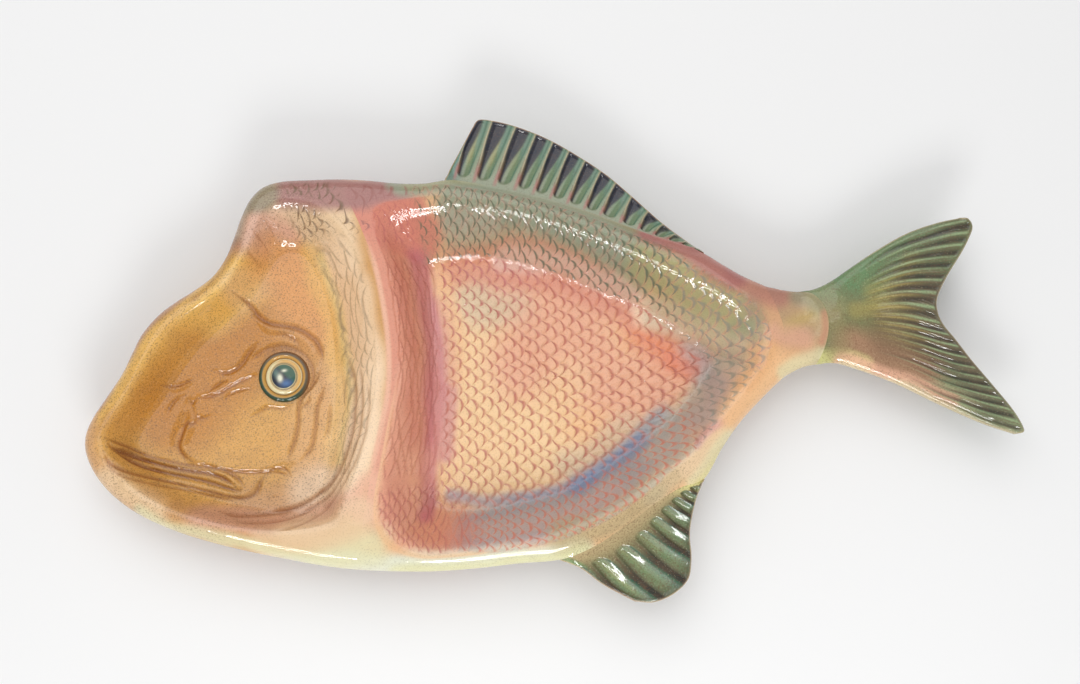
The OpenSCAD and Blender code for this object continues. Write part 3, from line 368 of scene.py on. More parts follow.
# Lines of the face: form, width, height, strength of the pigment in it, and places on its path
FACE_LINES = (
    ("ridge", 3, 1.3, 0,
        (-471, -34), (-456, -61), (-437, -83), (-415, -99), (-392, -112), (-372, -122), (-357, -139),
        (-347, -160)),
    ("ridge", 3.4, 1.5, 0,
        (-473, -61), (-461, -91), (-442, -114), (-418, -133), (-396, -147), (-373, -161), (-357, -173),
        (-345, -175)),
    ("groove", 1.1, 2.2, 0.95,
        (-471, -38), (-467, -50), (-449, -74), (-425, -95), (-399, -112), (-378, -123), (-363, -137),
        (-351, -156)),
    ("groove", 0.9, 1.6, 0.9,
        (-469, -50), (-451, -84), (-427, -107), (-399, -126), (-378, -141), (-359, -158), (-348, -166),
        (-343, -160)),
    ("groove", 0.8, 0.9, 0.75,
        (-473, -26), (-460, -48), (-441, -71), (-418, -88), (-396, -102), (-376, -112), (-361, -122),
        (-347, -142), (-342, -162)),
    ("groove", 0.8, 0.9, 0.75,
        (-476, -53), (-470, -80), (-455, -103), (-430, -124), (-402, -143), (-378, -160), (-361, -173),
        (-342, -182), (-330, -174), (-324, -155), (-316, -140)),
    ("groove", 0.6, 0.5, 0.5,
        (-475, -67), (-468, -93), (-451, -116), (-427, -136), (-399, -154), (-375, -171), (-357, -182),
        (-343, -187)),
    ("step", 2.2, 1.5, 0,
        (-388, 10), (-397, -19), (-404, -41), (-407, -63), (-402, -82), (-392, -97), (-375, -110),
        (-354, -124), (-333, -133), (-312, -137), (-295, -131)),
    ("groove", 0.9, 0.8, 0.7,
        (-380, -4), (-388, -19), (-396, -17), (-402, -38), (-407, -61), (-402, -82), (-392, -95)),
    ("groove", 0.8, 1.1, 0.75,
        (-392, -95), (-375, -110), (-354, -124), (-333, -133), (-316, -136), (-305, -132), (-295, -137),
        (-290, -152)),
    ("groove", 0.7, 0.8, 0.6, (-316, -140), (-305, -141), (-295, -147), (-290, -154)),
    ("groove", 1.2, 1, 0.6, (-307, 123), (-318, 106), (-327, 86), (-336, 76), (-347, 72), (-359, 81)),
    ("groove", 0.8, 0.7, 0.55, (-420, 70), (-413, 63), (-399, 61), (-389, 66), (-383, 71)),
    ("ridge", 1.4, 0.6, 0, (-418, 66), (-406, 58), (-394, 58), (-384, 64)),
    ("groove", 1.3, 1.3, 0.8, (-390, 33), (-388, 23), (-384, 25), (-382, 30)),
    ("groove", 1, 0.9, 0.65, (-382, 30), (-370, 30), (-357, 33), (-344, 43), (-330, 52), (-313, 58)),
    ("ridge", 2.2, 1, 0, (-378, 38), (-361, 40), (-345, 49), (-330, 59), (-314, 66)),
    ("groove", 0.8, 0.8, 0.5, (-372, 34), (-361, 47), (-349, 56), (-342, 53)),
    ("groove", 0.9, 0.8, 0.5, (-352, 15), (-345, 28), (-334, 33), (-319, 34)),
    ("groove", 0.9, 0.8, 0.55, (-387, 10), (-385, -6), (-377, -12), (-368, -9)),
    ("groove", 0.7, 0.6, 0.45, (-415, -3), (-413, 16), (-404, 34), (-391, 40)),
    ("groove", 0.9, 0.7, 0.45, (-326, -22), (-316, -17), (-305, -9), (-291, -15), (-277, -13)),
    ("groove", 1.1, 1.1, 0.75,
        (-322, 224), (-310, 200), (-302, 175), (-291, 158), (-276, 149), (-262, 140), (-250, 124),
        (-242, 105), (-239, 83), (-239, 66)),
    ("groove", 1.1, 1, 0.6, (-312, 187), (-302, 172)),
    ("ridge", 2.4, 0.9, 0,
        (-305, 167), (-291, 148), (-274, 137), (-260, 124), (-251, 105), (-247, 83), (-246, 64)),
    ("groove", 0.9, 0.8, 0.55, (-292, 137), (-277, 132), (-266, 118), (-261, 99)),
    ("groove", 0.9, 0.8, 0.5,
        (-319, 86), (-308, 101), (-293, 110), (-276, 108), (-260, 89), (-252, 64), (-252, 35), (-260, 10)),
    ("groove", 0.7, 0.5, 0.4, (-305, 99), (-291, 104), (-274, 101), (-262, 87)),
    ("groove", 0.9, 0.9, 0.55,
        (-242, 48), (-250, 30), (-257, 16), (-265, 5), (-270, -9), (-273, -31), (-275, -53), (-280, -79),
        (-287, -104), (-291, -121)),
    ("groove", 0.8, 0.8, 0.5,
        (-240, 16), (-246, -3), (-252, -27), (-255, -53), (-260, -85), (-266, -107), (-277, -126)),
    ("groove", 0.7, 0.6, 0.4, (-257, 10), (-260, -9), (-268, -19), (-277, -28)),
    ("groove", 0.7, 0.6, 0.4, (-236, -15), (-239, -41), (-242, -66), (-249, -93)),
    ("step", 2, -1.1, 0,
        (-209, 99), (-207, 48), (-209, -3), (-212, -53), (-220, -104), (-234, -148), (-255, -187),
        (-277, -209), (-305, -219), (-333, -216), (-361, -203)),
    ("groove", 0.9, 1, 0.6,
        (-209, 61), (-207, 16), (-209, -28), (-215, -79), (-227, -129), (-244, -171), (-265, -199),
        (-291, -216), (-319, -218), (-347, -212), (-368, -199)),
    ("groove", 0.8, 0.8, 0.45,
        (-198, 48), (-198, 4), (-201, -47), (-209, -98), (-224, -148), (-244, -190), (-269, -219),
        (-297, -233), (-326, -232), (-350, -222)),
    ("groove", 0.7, 0.6, 0.35,
        (-191, 10), (-192, -41), (-201, -98), (-217, -152), (-238, -199), (-260, -232), (-284, -250),
        (-305, -255)),
    ("groove", 0.8, 0.5, 0.35, (-298, 308), (-295, 289), (-291, 270)),
    ("groove", 0.8, 0.5, 0.35, (-291, 346), (-284, 320), (-281, 301)),
    ("groove", 0.8, 0.5, 0.3, (-277, 358), (-272, 339), (-271, 317)),
)

# Curves

def blend(a, b, t):
    return a + (b - a) * t


def smooth(t):
    t = np.clip(t, 0.0, 1.0)
    return t * t * (3.0 - 2.0 * t)


def place(shares):
    return np.array(shares) / 1000.0 * (PLATTER_L, PLATTER_W)


def curve_point(a, b, c, d, t):
    return (b + (c - a) * t / 2 + (2 * a - 5 * b + 4 * c - d) * t * t / 2
            + (3 * b - a - 3 * c + d) * t * t * t / 2)


def open_curve(before, points, after, counts):
    """A smooth curve through points, guided by one more point before and after them."""
    q = np.vstack([before, points, after])
    rows = [curve_point(*q[i - 1:i + 3], np.arange(counts[i - 1])[:, None] / counts[i - 1])
            for i in range(1, len(points))]
    return np.vstack(rows + [points[-1:]])


def free_curve(points, counts):
    return open_curve(2 * points[0] - points[1], points, 2 * points[-1] - points[-2], counts)


def closed_curve(points, counts):
    n = len(points)
    rows = [curve_point(points[i - 1], points[i], points[(i + 1) % n], points[(i + 2) % n],
                        np.arange(counts[i])[:, None] / counts[i]) for i in range(n)]
    return np.vstack(rows)


def span_counts(points, step):
    """Samples for each span between points, in whole multiples of COARSE."""
    lengths = np.linalg.norm(np.diff(points, axis=0), axis=1)
    return [COARSE * max(1, round(length / (COARSE * step))) for length in lengths]


def along(path, shares):
    """Points of a path at shares of its length."""
    marks = np.concatenate([[0.0], np.cumsum(np.linalg.norm(np.diff(path, axis=0), axis=1))])
    s = np.asarray(shares) * marks[-1]
    return np.stack([np.interp(s, marks, path[:, k]) for k in range(path.shape[1])], -1)


def side_of(p, path):
    """Distance of each point to a path, signed: positive on its left."""
    a = path[:-1]
    ab = path[1:] - a
    length2 = np.maximum((ab * ab).sum(1), 1e-12)
    out = np.empty(len(p))
    for i in range(0, len(p), CHUNK):
        q = p[i:i + CHUNK, None, :] - a[None]
        t = np.clip((q * ab).sum(2) / length2, 0.0, 1.0)
        d = q - t[..., None] * ab
        far = (d * d).sum(2)
        k = far.argmin(1)
        j = np.arange(len(k))
        turn = ab[k, 0] * q[j, k, 1] - ab[k, 1] * q[j, k, 0]
        out[i:i + CHUNK] = np.sqrt(far[j, k]) * np.where(turn >= 0, 1.0, -1.0)
    return out


def path_distance(p, path):
    return np.abs(side_of(p, path))


# The free outline of head, trunk and stem, anticlockwise from the top of the tail joint
OUTLINE_PARTS = (STEM_TOP_SHARES, UPPER_BACK_SHARES, DORSAL_ROOT_SHARES, NAPE_SHARES, HEAD_SHARES,
                 BELLY_SHARES, ANAL_ROOT_SHARES, LOWER_BACK_SHARES, STEM_BOTTOM_SHARES)
part_starts = np.cumsum([0] + [len(part) for part in OUTLINE_PARTS])
outline_points = place([p for part in OUTLINE_PARTS for p in part])
outline_counts = span_counts(outline_points, STEP)
for stem_span in list(range(part_starts[1])) + list(range(part_starts[8], part_starts[9] - 1)):
    outline_counts[stem_span] = 2 * COARSE
outline = open_curve(place(TAIL_TOP_SHARES[1]), outline_points, place(TAIL_BOTTOM_SHARES[1]),
                     outline_counts)
sample_starts = np.concatenate([[0], np.cumsum(outline_counts)])
(_, STEM_TOP_I, DORSAL_REAR_I, DORSAL_FRONT_I, RIDGE_TOP_I, RIDGE_FOOT_I, ANAL_FRONT_I, ANAL_REAR_I,
 STEM_BOTTOM_I) = [int(sample_starts[i]) for i in part_starts[:-1]]


def counts_of(first, last):
    return outline_counts[part_starts[first]:part_starts[last]]


seam_counts = span_counts(place(SEAM_SHARES), STEP)
seam = free_curve(place(SEAM_SHARES), seam_counts)
stem_seam_counts = span_counts(place(STEM_SEAM_SHARES), STEP)
stem_seam = free_curve(place(STEM_SEAM_SHARES), stem_seam_counts)
wrist = along(free_curve(place(WRIST_SHARES), [16] * (len(WRIST_SHARES) - 1)),
              np.linspace(0.0, 1.0, len(stem_seam)))


# Heights of the smooth upper surface at a place

def bump(t):
    c = np.maximum(0.0, 1.0 - t * t)
    return c * c


def dip(p):
    q = (p - place(DIP_SHARE)) / place(DIP_REACH_SHARES)
    return bump(q[:, 0]) * bump(q[:, 1])


def along_stem(p):
    return smooth((p[:, 0] / PLATTER_L - STEM_SHARES[0]) / (STEM_SHARES[1] - STEM_SHARES[0]))


def crest_z(p):
    return PLATTER_H - RIDGE_DROP * dip(p) - STEM_FALL * along_stem(p)


def inside_run(x, a, b):
    return smooth((x - a) / RIM_W / 2 + 0.5) * smooth((b - x) / RIM_W / 2 + 0.5)


def at_fin(p):
    """1 beside a fin, 0 at a free edge."""
    return np.where(p[:, 1] > 0,
                    inside_run(p[:, 0], outline[DORSAL_FRONT_I, 0], outline[DORSAL_REAR_I, 0]),
                    inside_run(p[:, 0], outline[ANAL_FRONT_I, 0], outline[ANAL_REAR_I, 0]))


def rim_fall(p, d):
    u = np.clip(1.0 - d / RIM_W, 0.0, 1.0)
    v = np.clip(1.0 - d / FIN_SEAT_W, 0.0, 1.0)
    free_drop = blend(RIM_DROP, FIN_SEAT_DROP, along_stem(p))
    return blend(free_drop * (1.0 - np.sqrt(1.0 - u * u)), FIN_SEAT_DROP * smooth(v), at_fin(p))


def edge_z(p):
    return crest_z(p) - rim_fall(p, np.zeros(len(p)))


def edge_face(p):
    return blend(EDGE_T, FIN_T, at_fin(p))


def rim_under_z(p):
    at_edge = smooth(1.0 - path_distance(p, outline) / RIM_W)
    return blend(crest_z(p) - CLAY_T, edge_z(p) - edge_face(p), at_edge)


def wall_fall(t, bends):
    t = np.clip(t, 0.0, 1.0)
    a, b = bends
    slope = 1.0 / (1.0 - a / 2 - b / 2)
    return np.where(t < a, slope * t * t / (2 * a),
                    np.where(t > 1.0 - b, 1.0 - slope * (1.0 - t) ** 2 / (2 * b), slope * (t - a / 2)))


# Meshes. A skin collects the points and faces of one closed piece. Faces on a joint between two pieces
# are marked as hidden, so that the shading runs over the joint.

class Skin:
    def __init__(self, name):
        self.name = name
        self.points = []
        self.rows = []
        self.faces = []
        self.hidden = []
        self.colors = {}
        self.size = 0

    def add(self, points, row=-1.0):
        """Adds points, and keeps where each lies between edge and hub, or -1 on the underside."""
        self.points.append(points)
        self.rows.append(np.full(len(points), row))
        self.size += len(points)
        return np.arange(self.size - len(points), self.size)

    def add_faces(self, faces, hidden=False):
        self.faces.append(faces)
        self.hidden.append(np.broadcast_to(hidden, len(faces)))

    def band(self, a, b, hidden=None):
        """Faces between two closed rows, where b comes before a on the way from the upper hub over
        the edge to the lower one. One row may have several points for each point of the other."""
        fine, coarse = (a, b) if len(a) >= len(b) else (b, a)
        k = len(fine) // len(coarse)
        half = (k + 1) // 2
        i = np.arange(len(coarse))
        f = [fine[(i * k + j) % len(fine)] for j in range(k + 1)]
        c = [coarse[i], coarse[(i + 1) % len(coarse)]]
        if len(a) >= len(b):
            tris = [np.stack([f[j], f[j + 1], c[0 if j < half else 1]], 1) for j in range(k)]
            tris.append(np.stack([f[half], c[1], c[0]], 1))
        else:
            tris = [np.stack([c[0 if j < half else 1], f[j + 1], f[j]], 1) for j in range(k)]
            tris.append(np.stack([c[0], c[1], f[half]], 1))
        flags = False if hidden is None else np.concatenate([hidden[i * k]] * len(tris))
        self.add_faces(np.concatenate(tris), flags)

    def fan(self, ring, hub, upper):
        nxt = np.roll(ring, -1)
        hubs = np.full(len(ring), hub)
        self.add_faces(np.stack([ring, nxt, hubs] if upper else [nxt, ring, hubs], 1))

    def edge(self, upper, free, hidden, under_z):
        """Goes down the edge face from the uppermost row of an anticlockwise ring, round its lower corner
        and on to a coarse row under it, which is returned."""
        ring = np.vstack(self.points)[upper]
        turn = np.roll(ring, -1, 0) - np.roll(ring, 1, 0)
        n = np.stack([-turn[:, 1], turn[:, 0]], 1)
        n = n / np.linalg.norm(n, axis=1)[:, None]
        before = upper
        for angle in (0.0, 22.5, 45.0, 67.5, 90.0):
            c, s = math.cos(math.radians(angle)), math.sin(math.radians(angle))
            p = ring[:, :2] + n * (EDGE_ROUND * (1.0 - c) * free)[:, None]
            z = np.minimum(under_z + EDGE_ROUND * (1.0 - s) * blend(0.2, 1.0, free), ring[:, 2] - 0.3)
            row = self.add(np.column_stack([p, z]))
            self.band(row, before, hidden)
            before = row
        inner = p[::COARSE] + 0.5 * n[::COARSE]
        row = self.add(np.column_stack([inner, under_z[::COARSE]]))
        self.band(row, before)
        return row

    def finish(self):
        self.points = np.vstack(self.points)
        self.rows = np.concatenate(self.rows)
        self.faces = np.vstack(self.faces)
        self.hidden = np.concatenate(self.hidden)
        self.upper = self.rows >= 0.0
        return self


RIM_ROWS = 1.0 - np.cos(np.radians(np.linspace(0.0, 90.0, 15)))
WALL_ROWS = np.linspace(1.0, 2.0, 39)
UNDER_ROWS = (0.35, 0.65, 1.0, 1.2, 1.4, 1.6, 1.8, 2.0, 2.4)
TRUNK_FLOOR_ROWS = 72
HEAD_FLOOR_ROWS = 60


def dish(name, edge, lip, floor_edge, hub, floor_z, bends, joined, floor_rows):
    """A dish lofted from its edge over its lip down to its floor. joined marks the points on joints."""
    skin = Skin(name)

    def row(s, stride=1):
        e, a, b = edge[::stride], lip[::stride], floor_edge[::stride]
        if s <= 1.0:
            p = blend(e, a, s)
            z = crest_z(p) - rim_fall(p, path_distance(p, outline))
        elif s <= 2.0:
            p = blend(a, b, s - 1.0)
            z = blend(crest_z(p), floor_z, wall_fall(s - 1.0, bends))
        else:
            p = blend(b, hub, s - 2.0)
            z = np.full(len(p), floor_z)
        return p, z

    upper_edge = before = None
    for s in np.concatenate([RIM_ROWS, WALL_ROWS[1:]]):
        p, z = row(s)
        now = skin.add(np.column_stack([p, z]), s)
        if before is None:
            upper_edge = now
        else:
            skin.band(before, now)
        before = now
    for t in np.linspace(0.0, 1.0, floor_rows + 1)[1:-1]:
        p, z = row(2.0 + t, 2 if t < 0.5 else 4)
        now = skin.add(np.column_stack([p, z]), 2.0 + t)
        skin.band(before, now)
        before = now
    top = skin.add(np.array([[hub[0], hub[1], floor_z]]), 3.0)
    skin.fan(before, top[0], True)

    free = np.where(joined, 0.0, 1.0)
    wall_joined = joined & np.roll(joined, -1)
    before = skin.edge(upper_edge, free, wall_joined, edge_z(edge) - edge_face(edge))
    for s in UNDER_ROWS:
        p, z = row(s, COARSE)
        z = rim_under_z(p) if s <= 1.0 else z - CLAY_T
        now = skin.add(np.column_stack([p, z]))
        skin.band(now, before)
        before = now
    bottom = skin.add(np.array([[hub[0], hub[1], floor_z - CLAY_T]]))
    skin.fan(before, bottom[0], False)
    return skin.finish()


def patch(root, tip, left, right):
    """A patch between four edges: root and tip run across, left and right run outwards."""
    u = np.linspace(0.0, 1.0, len(root))[None, :, None]
    v = np.linspace(0.0, 1.0, len(left))[:, None, None]
    corners = blend(blend(root[0], root[-1], u), blend(tip[0], tip[-1], u), v)
    return blend(root[None], tip[None], v) + blend(left[:, None], right[:, None], u) - corners


def add_quads(skin, index, mirrored):
    """Faces on a grid of point numbers."""
    a, b, c, d = index[:-1, :-1], index[:-1, 1:], index[1:, :-1], index[1:, 1:]
    quads = np.concatenate([np.stack([a, b, d], -1).reshape(-1, 3),
                            np.stack([a, d, c], -1).reshape(-1, 3)])
    skin.add_faces(quads[:, ::-1] if mirrored else quads)


def slab(name, grid, upper_z, under_z, mirrored, joined_tip=False):
    """A slab on a grid of places with heights above and below, joined at its first row."""
    skin = Skin(name)
    m, n = upper_z.shape
    v = np.linspace(0.0, 1.0, m)
    index = np.stack([skin.add(np.column_stack([grid[i], upper_z[i]]), v[i]) for i in range(m)])
    add_quads(skin, index, mirrored)

    def loop(table):
        k, w = table.shape[0], table.shape[1]
        ring = np.concatenate([table[0, :w - 1], table[:k - 1, w - 1], table[k - 1, :0:-1],
                               table[:0:-1, 0]])
        return np.roll(ring[::-1], 1, 0) if mirrored else ring

    joined = np.zeros((m, n), bool)
    joined[0] = True
    joined[-1] = joined_tip
    ring_joined = loop(joined)
    hidden = ring_joined & np.roll(ring_joined, -1)
    inner = skin.edge(loop(index), np.where(ring_joined, 0.0, 1.0), hidden, loop(under_z))
    coarse = np.full(index[::COARSE, ::COARSE].shape, -1)
    k, w = coarse.shape
    coarse[1:-1, 1:-1] = skin.add(np.column_stack([
        grid[::COARSE, ::COARSE][1:-1, 1:-1].reshape(-1, 2),
        under_z[::COARSE, ::COARSE][1:-1, 1:-1].reshape(-1)])).reshape(k - 2, w - 2)
    where = loop(np.arange(k * w).reshape(k, w))
    coarse.reshape(-1)[where] = inner
    add_quads(skin, coarse, not mirrored)
    return skin.finish()


# Trunk and head
trunk_edge = np.vstack([seam[:-1], outline[RIDGE_FOOT_I:STEM_BOTTOM_I], stem_seam[:-1],
                        outline[STEM_TOP_I:RIDGE_TOP_I]])
trunk_counts = (seam_counts + counts_of(5, 8) + stem_seam_counts + counts_of(1, 4))
trunk_lip = closed_curve(place(TRUNK_LIP_SHARES), trunk_counts)
trunk_floor = closed_curve(place(TRUNK_FLOOR_SHARES), trunk_counts)
trunk_hub = place(TRUNK_HUB_SHARE)
trunk_joined = np.zeros(len(trunk_edge), bool)
belly_n = STEM_BOTTOM_I - RIDGE_FOOT_I
seam_n, stem_seam_n = len(seam) - 1, len(stem_seam) - 1
for first, n in ((0, seam_n),
                 (seam_n + ANAL_FRONT_I - RIDGE_FOOT_I, ANAL_REAR_I - ANAL_FRONT_I),
                 (seam_n + belly_n, stem_seam_n),
                 (seam_n + belly_n + stem_seam_n + DORSAL_REAR_I - STEM_TOP_I,
                  DORSAL_FRONT_I - DORSAL_REAR_I)):
    trunk_joined[first:first + n + 1] = True

head_edge = np.vstack([seam[:0:-1], outline[RIDGE_TOP_I:RIDGE_FOOT_I]])
head_counts = seam_counts[::-1] + counts_of(4, 5)
head_lip = closed_curve(place(HEAD_LIP_SHARES), head_counts)
head_floor = closed_curve(place(HEAD_FLOOR_SHARES), head_counts)
head_hub = place(HEAD_HUB_SHARE)
head_joined = np.zeros(len(head_edge), bool)
head_joined[:seam_n + 1] = True

trunk = dish("trunk_dish", trunk_edge, trunk_lip, trunk_floor, trunk_hub, TRUNK_FLOOR_Z,
             TRUNK_BEND_SHARES, trunk_joined, TRUNK_FLOOR_ROWS)
head = dish("head_dish", head_edge, head_lip, head_floor, head_hub, HEAD_FLOOR_Z, HEAD_BEND_SHARES,
            head_joined, HEAD_FLOOR_ROWS)

# Stem: its end rolls down to the tail
WRIST_ROLL_W = 3.0
stem_sides = (outline[STEM_TOP_I::-1], outline[STEM_BOTTOM_I:])
stem_grid = patch(stem_seam[::-1], wrist, *stem_sides)
stem_flat = stem_grid.reshape(-1, 2)
stem_roll = WRIST_STEP * smooth(1.0 - path_distance(stem_flat, wrist) / WRIST_ROLL_W)
stem_z = crest_z(stem_flat) - rim_fall(stem_flat, path_distance(stem_flat, outline)) - stem_roll
stem = slab("tail_stem", stem_grid, stem_z.reshape(stem_grid.shape[:2]),
            rim_under_z(stem_flat).reshape(stem_grid.shape[:2]), False, joined_tip=True)


# Fins. Each column of a fin's grid runs from its root to its edge.

def root_line(path):
    """A joint's points with the middles of its chords added, so that both pieces meet exactly."""
    fine = np.empty((2 * len(path) - 1, 2))
    fine[::2] = path
    fine[1::2] = (path[1:] + path[:-1]) / 2
    heights = edge_z(path)
    z = np.empty(len(fine))
    z[::2] = heights
    z[1::2] = (heights[1:] + heights[:-1]) / 2
    return fine, z


def evenly(points, n):
    return along(free_curve(place(points), [16] * (len(points) - 1)), np.linspace(0.0, 1.0, n))


def flute_phase(shape, root_shares, tip_shares):
    """Number of the flute at each point of a fin, a whole number along its middle."""
    m, n = shape
    u = np.linspace(0.0, 1.0, n)
    v = np.linspace(0.0, 1.0, m)[:, None]
    numbers = np.arange(len(root_shares)) + 1.0
    ends = []
    for shares in (root_shares, tip_shares):
        first = shares[0] - (shares[1] - shares[0])
        last = shares[-1] + (shares[-1] - shares[-2])
        ends.append(np.interp(u, [first, *shares, last], [0.0, *numbers, len(shares) + 1.0]))
    return blend(ends[0][None, :], ends[1][None, :], v)


def flute_place(phase, v):
    """Across a flute from -1 to 1 between its edges, and beyond them on the ridges beside it."""
    half = blend(FLUTE_ROOT_HALF, FLUTE_TIP_HALF, smooth(v / 0.8))
    return (phase - np.round(phase)) / half


def flute_end(x, v, start):
    """Rises from 0 at the rounded foot of a flute to 1 inside it."""
    foot = start + FLUTE_FOOT_BEND * np.clip(np.abs(x), 0.0, 1.2) ** 3
    return smooth((v - foot) / FLUTE_FOOT_W)


def flute_depth_share(x):
    """Steep on the side towards the head and gently rising towards the tail."""
    left = smooth((x + 1.05) / 0.5)
    right = smooth((1.05 - x) / 1.25)
    return left * right


# Middles of the flutes, as shares of the fin's root and of its free edge
DORSAL_FLUTE_ROOT_SHARES = (0.030, 0.072, 0.124, 0.182, 0.240, 0.307, 0.380, 0.447, 0.517, 0.590, 0.659,
                            0.727, 0.798, 0.868, 0.937)
DORSAL_FLUTE_TIP_SHARES = (0.008, 0.035, 0.074, 0.124, 0.190, 0.275, 0.357, 0.428, 0.497, 0.567, 0.635,
                           0.703, 0.774, 0.862, 0.955)
ANAL_FLUTE_ROOT_SHARES = (0.150, 0.300, 0.430, 0.555, 0.665, 0.755, 0.830, 0.900)
ANAL_FLUTE_TIP_SHARES = (0.080, 0.270, 0.450, 0.610, 0.740, 0.830, 0.905, 0.970)
FLUTE_ROOT_HALF = 0.34
FLUTE_TIP_HALF = 0.45
FLUTE_FOOT_BEND = 0.07
FLUTE_FOOT_W = 0.06
FLUTE_DEPTH = 2.3
FLUTE_RISE_SHARE = 0.35  # the flutes lose this share of their depth towards the edge
FIN_TIP_FALL = 1.7       # fall of the rounded edge of a fin
TAIL_TIP_FALL = 1.4
DORSAL_REACH = 50.0      # the fins have rows for these lengths
ANAL_REACH = 42.0
TAIL_REACH = 100.0
DORSAL_FLUTE_START = 0.05
ANAL_FLUTE_START = 0.16


def fin(name, root_z, grid, free_path, phase, start, head_side):
    """A fluted fin, level with the edge that carries it and drooping to its own edge."""
    m, n = phase.shape
    v = np.broadcast_to(np.linspace(0.0, 1.0, m)[:, None], (m, n))
    base = blend(root_z[None], PLATTER_H - FIN_SEAT_DROP, smooth(v / 0.25)) - FIN_DROOP * v
    reach = path_distance(grid.reshape(-1, 2), free_path).reshape(m, n)
    u = np.clip(1.0 - reach / TIP_ROUND, 0.0, 1.0) * smooth(v / 0.1)
    x = flute_place(phase, v) * head_side
    inner = smooth((reach - 0.8) / 1.6)
    cut = FLUTE_DEPTH * flute_depth_share(x) * flute_end(x, v, start) * (1.0 - FLUTE_RISE_SHARE * v) * inner
    upper = base - cut - FIN_TIP_FALL * (1.0 - np.sqrt(1.0 - u * u))
    skin = slab(name, grid, upper, base - FIN_T, True)
    back = (phase / phase.max() - 0.5) * head_side + 0.5
    skin.grid = {"v": v, "x": x, "back": back, "reach": reach, "start": start}
    return skin


def even_rows(length):
    return COARSE * round(length / (COARSE * STEP)) + 1


def fin_grid(root, tip, first, last):
    """The places of a fin between its root, its edge and its two sides, and the path of the free ones."""
    return patch(root, tip, first, last), np.vstack([first[1:], tip, last[:0:-1]])


dorsal_root, dorsal_root_z = root_line(outline[DORSAL_REAR_I:DORSAL_FRONT_I + 1])
dorsal_tip = evenly(DORSAL_EDGE_SHARES, len(dorsal_root))
dorsal_m = even_rows(DORSAL_REACH)
dorsal_v = np.linspace(0.0, 1.0, dorsal_m)[:, None]
dorsal_rear = blend(dorsal_root[:1], dorsal_tip[:1], dorsal_v)
dorsal_front = blend(dorsal_root[-1:], dorsal_tip[-1:], dorsal_v)
dorsal_grid, dorsal_free = fin_grid(dorsal_root, dorsal_tip, dorsal_rear, dorsal_front)
dorsal = fin("dorsal_fin", dorsal_root_z, dorsal_grid, dorsal_free,
             flute_phase(dorsal_grid.shape[:2], DORSAL_FLUTE_ROOT_SHARES, DORSAL_FLUTE_TIP_SHARES),
             DORSAL_FLUTE_START, -1.0)

anal_root, anal_root_z = root_line(outline[ANAL_FRONT_I:ANAL_REAR_I + 1])
anal_tip = evenly(ANAL_EDGE_SHARES, len(anal_root))
anal_m = even_rows(ANAL_REACH)
anal_v = np.linspace(0.0, 1.0, anal_m)
anal_front = evenly(ANAL_FRONT_SHARES, anal_m)
anal_rear = blend(anal_root[-1:], anal_tip[-1:], anal_v[:, None])
anal_grid, anal_free = fin_grid(anal_root, anal_tip, anal_front, anal_rear)
anal = fin("anal_fin", anal_root_z, anal_grid, anal_free,
           flute_phase(anal_grid.shape[:2], ANAL_FLUTE_ROOT_SHARES, ANAL_FLUTE_TIP_SHARES),
           ANAL_FLUTE_START, 1.0)

# Tail: its first row is the arc of the wrist, four columns to each of its chords
tail_root = np.stack([np.interp(np.arange(4 * (len(wrist) - 1) + 1) / 4, np.arange(len(wrist)), wrist[:, k])
                      for k in (0, 1)], -1)
wrist_z = crest_z(wrist) - rim_fall(wrist, path_distance(wrist, outline)) - WRIST_STEP
tail_root_z = np.interp(np.arange(len(tail_root)) / 4, np.arange(len(wrist)), wrist_z)
tail_m = even_rows(TAIL_REACH)
tail_top = evenly(TAIL_TOP_SHARES, tail_m)
tail_bottom = evenly(TAIL_BOTTOM_SHARES, tail_m)
tail_tip = evenly(TAIL_FORK_SHARES, len(tail_root))
tail_grid, tail_free = fin_grid(tail_root, tail_tip, tail_top, tail_bottom)
TAIL_SIDE_W = RIM_W * 0.6
tail_shape = tail_grid.shape[:2]
tail_v = np.broadcast_to(np.linspace(0.0, 1.0, tail_m)[:, None], tail_shape)
tail_u = np.broadcast_to(np.linspace(0.0, 1.0, len(tail_root))[None, :], tail_shape)
tail_flat = tail_grid.reshape(-1, 2)
tail_side_reach = np.minimum(path_distance(tail_flat, tail_top),
                             path_distance(tail_flat, tail_bottom)).reshape(tail_shape)
tail_reach = path_distance(tail_flat, tail_free).reshape(tail_shape)
tail_hollow = TAIL_DISH * (1 - np.abs(2 * tail_u - 1) ** 3) * smooth(2 * tail_v)
tail_base = PLATTER_H - STEM_FALL - WRIST_STEP - tail_hollow
side_roll = np.clip(1.0 - tail_side_reach / TAIL_SIDE_W, 0.0, 1.0)
tip_roll = np.clip(1.0 - tail_reach / TIP_ROUND, 0.0, 1.0) * smooth(tail_v / 0.1) * (1.0 - side_roll)
tail_shaped = (tail_base - FIN_SEAT_DROP * (1.0 - np.sqrt(1.0 - side_roll ** 2))
               - TAIL_TIP_FALL * (1.0 - np.sqrt(1.0 - tip_roll ** 2)))
tail_z = blend(tail_root_z[None], tail_shaped, smooth(tail_v / 0.25))
tail_under = blend(tail_base - FIN_T, tail_base - FIN_SEAT_DROP - EDGE_T, smooth(side_roll))
tail = slab("tail_fin", tail_grid, tail_z, tail_under, False)


# Patterns

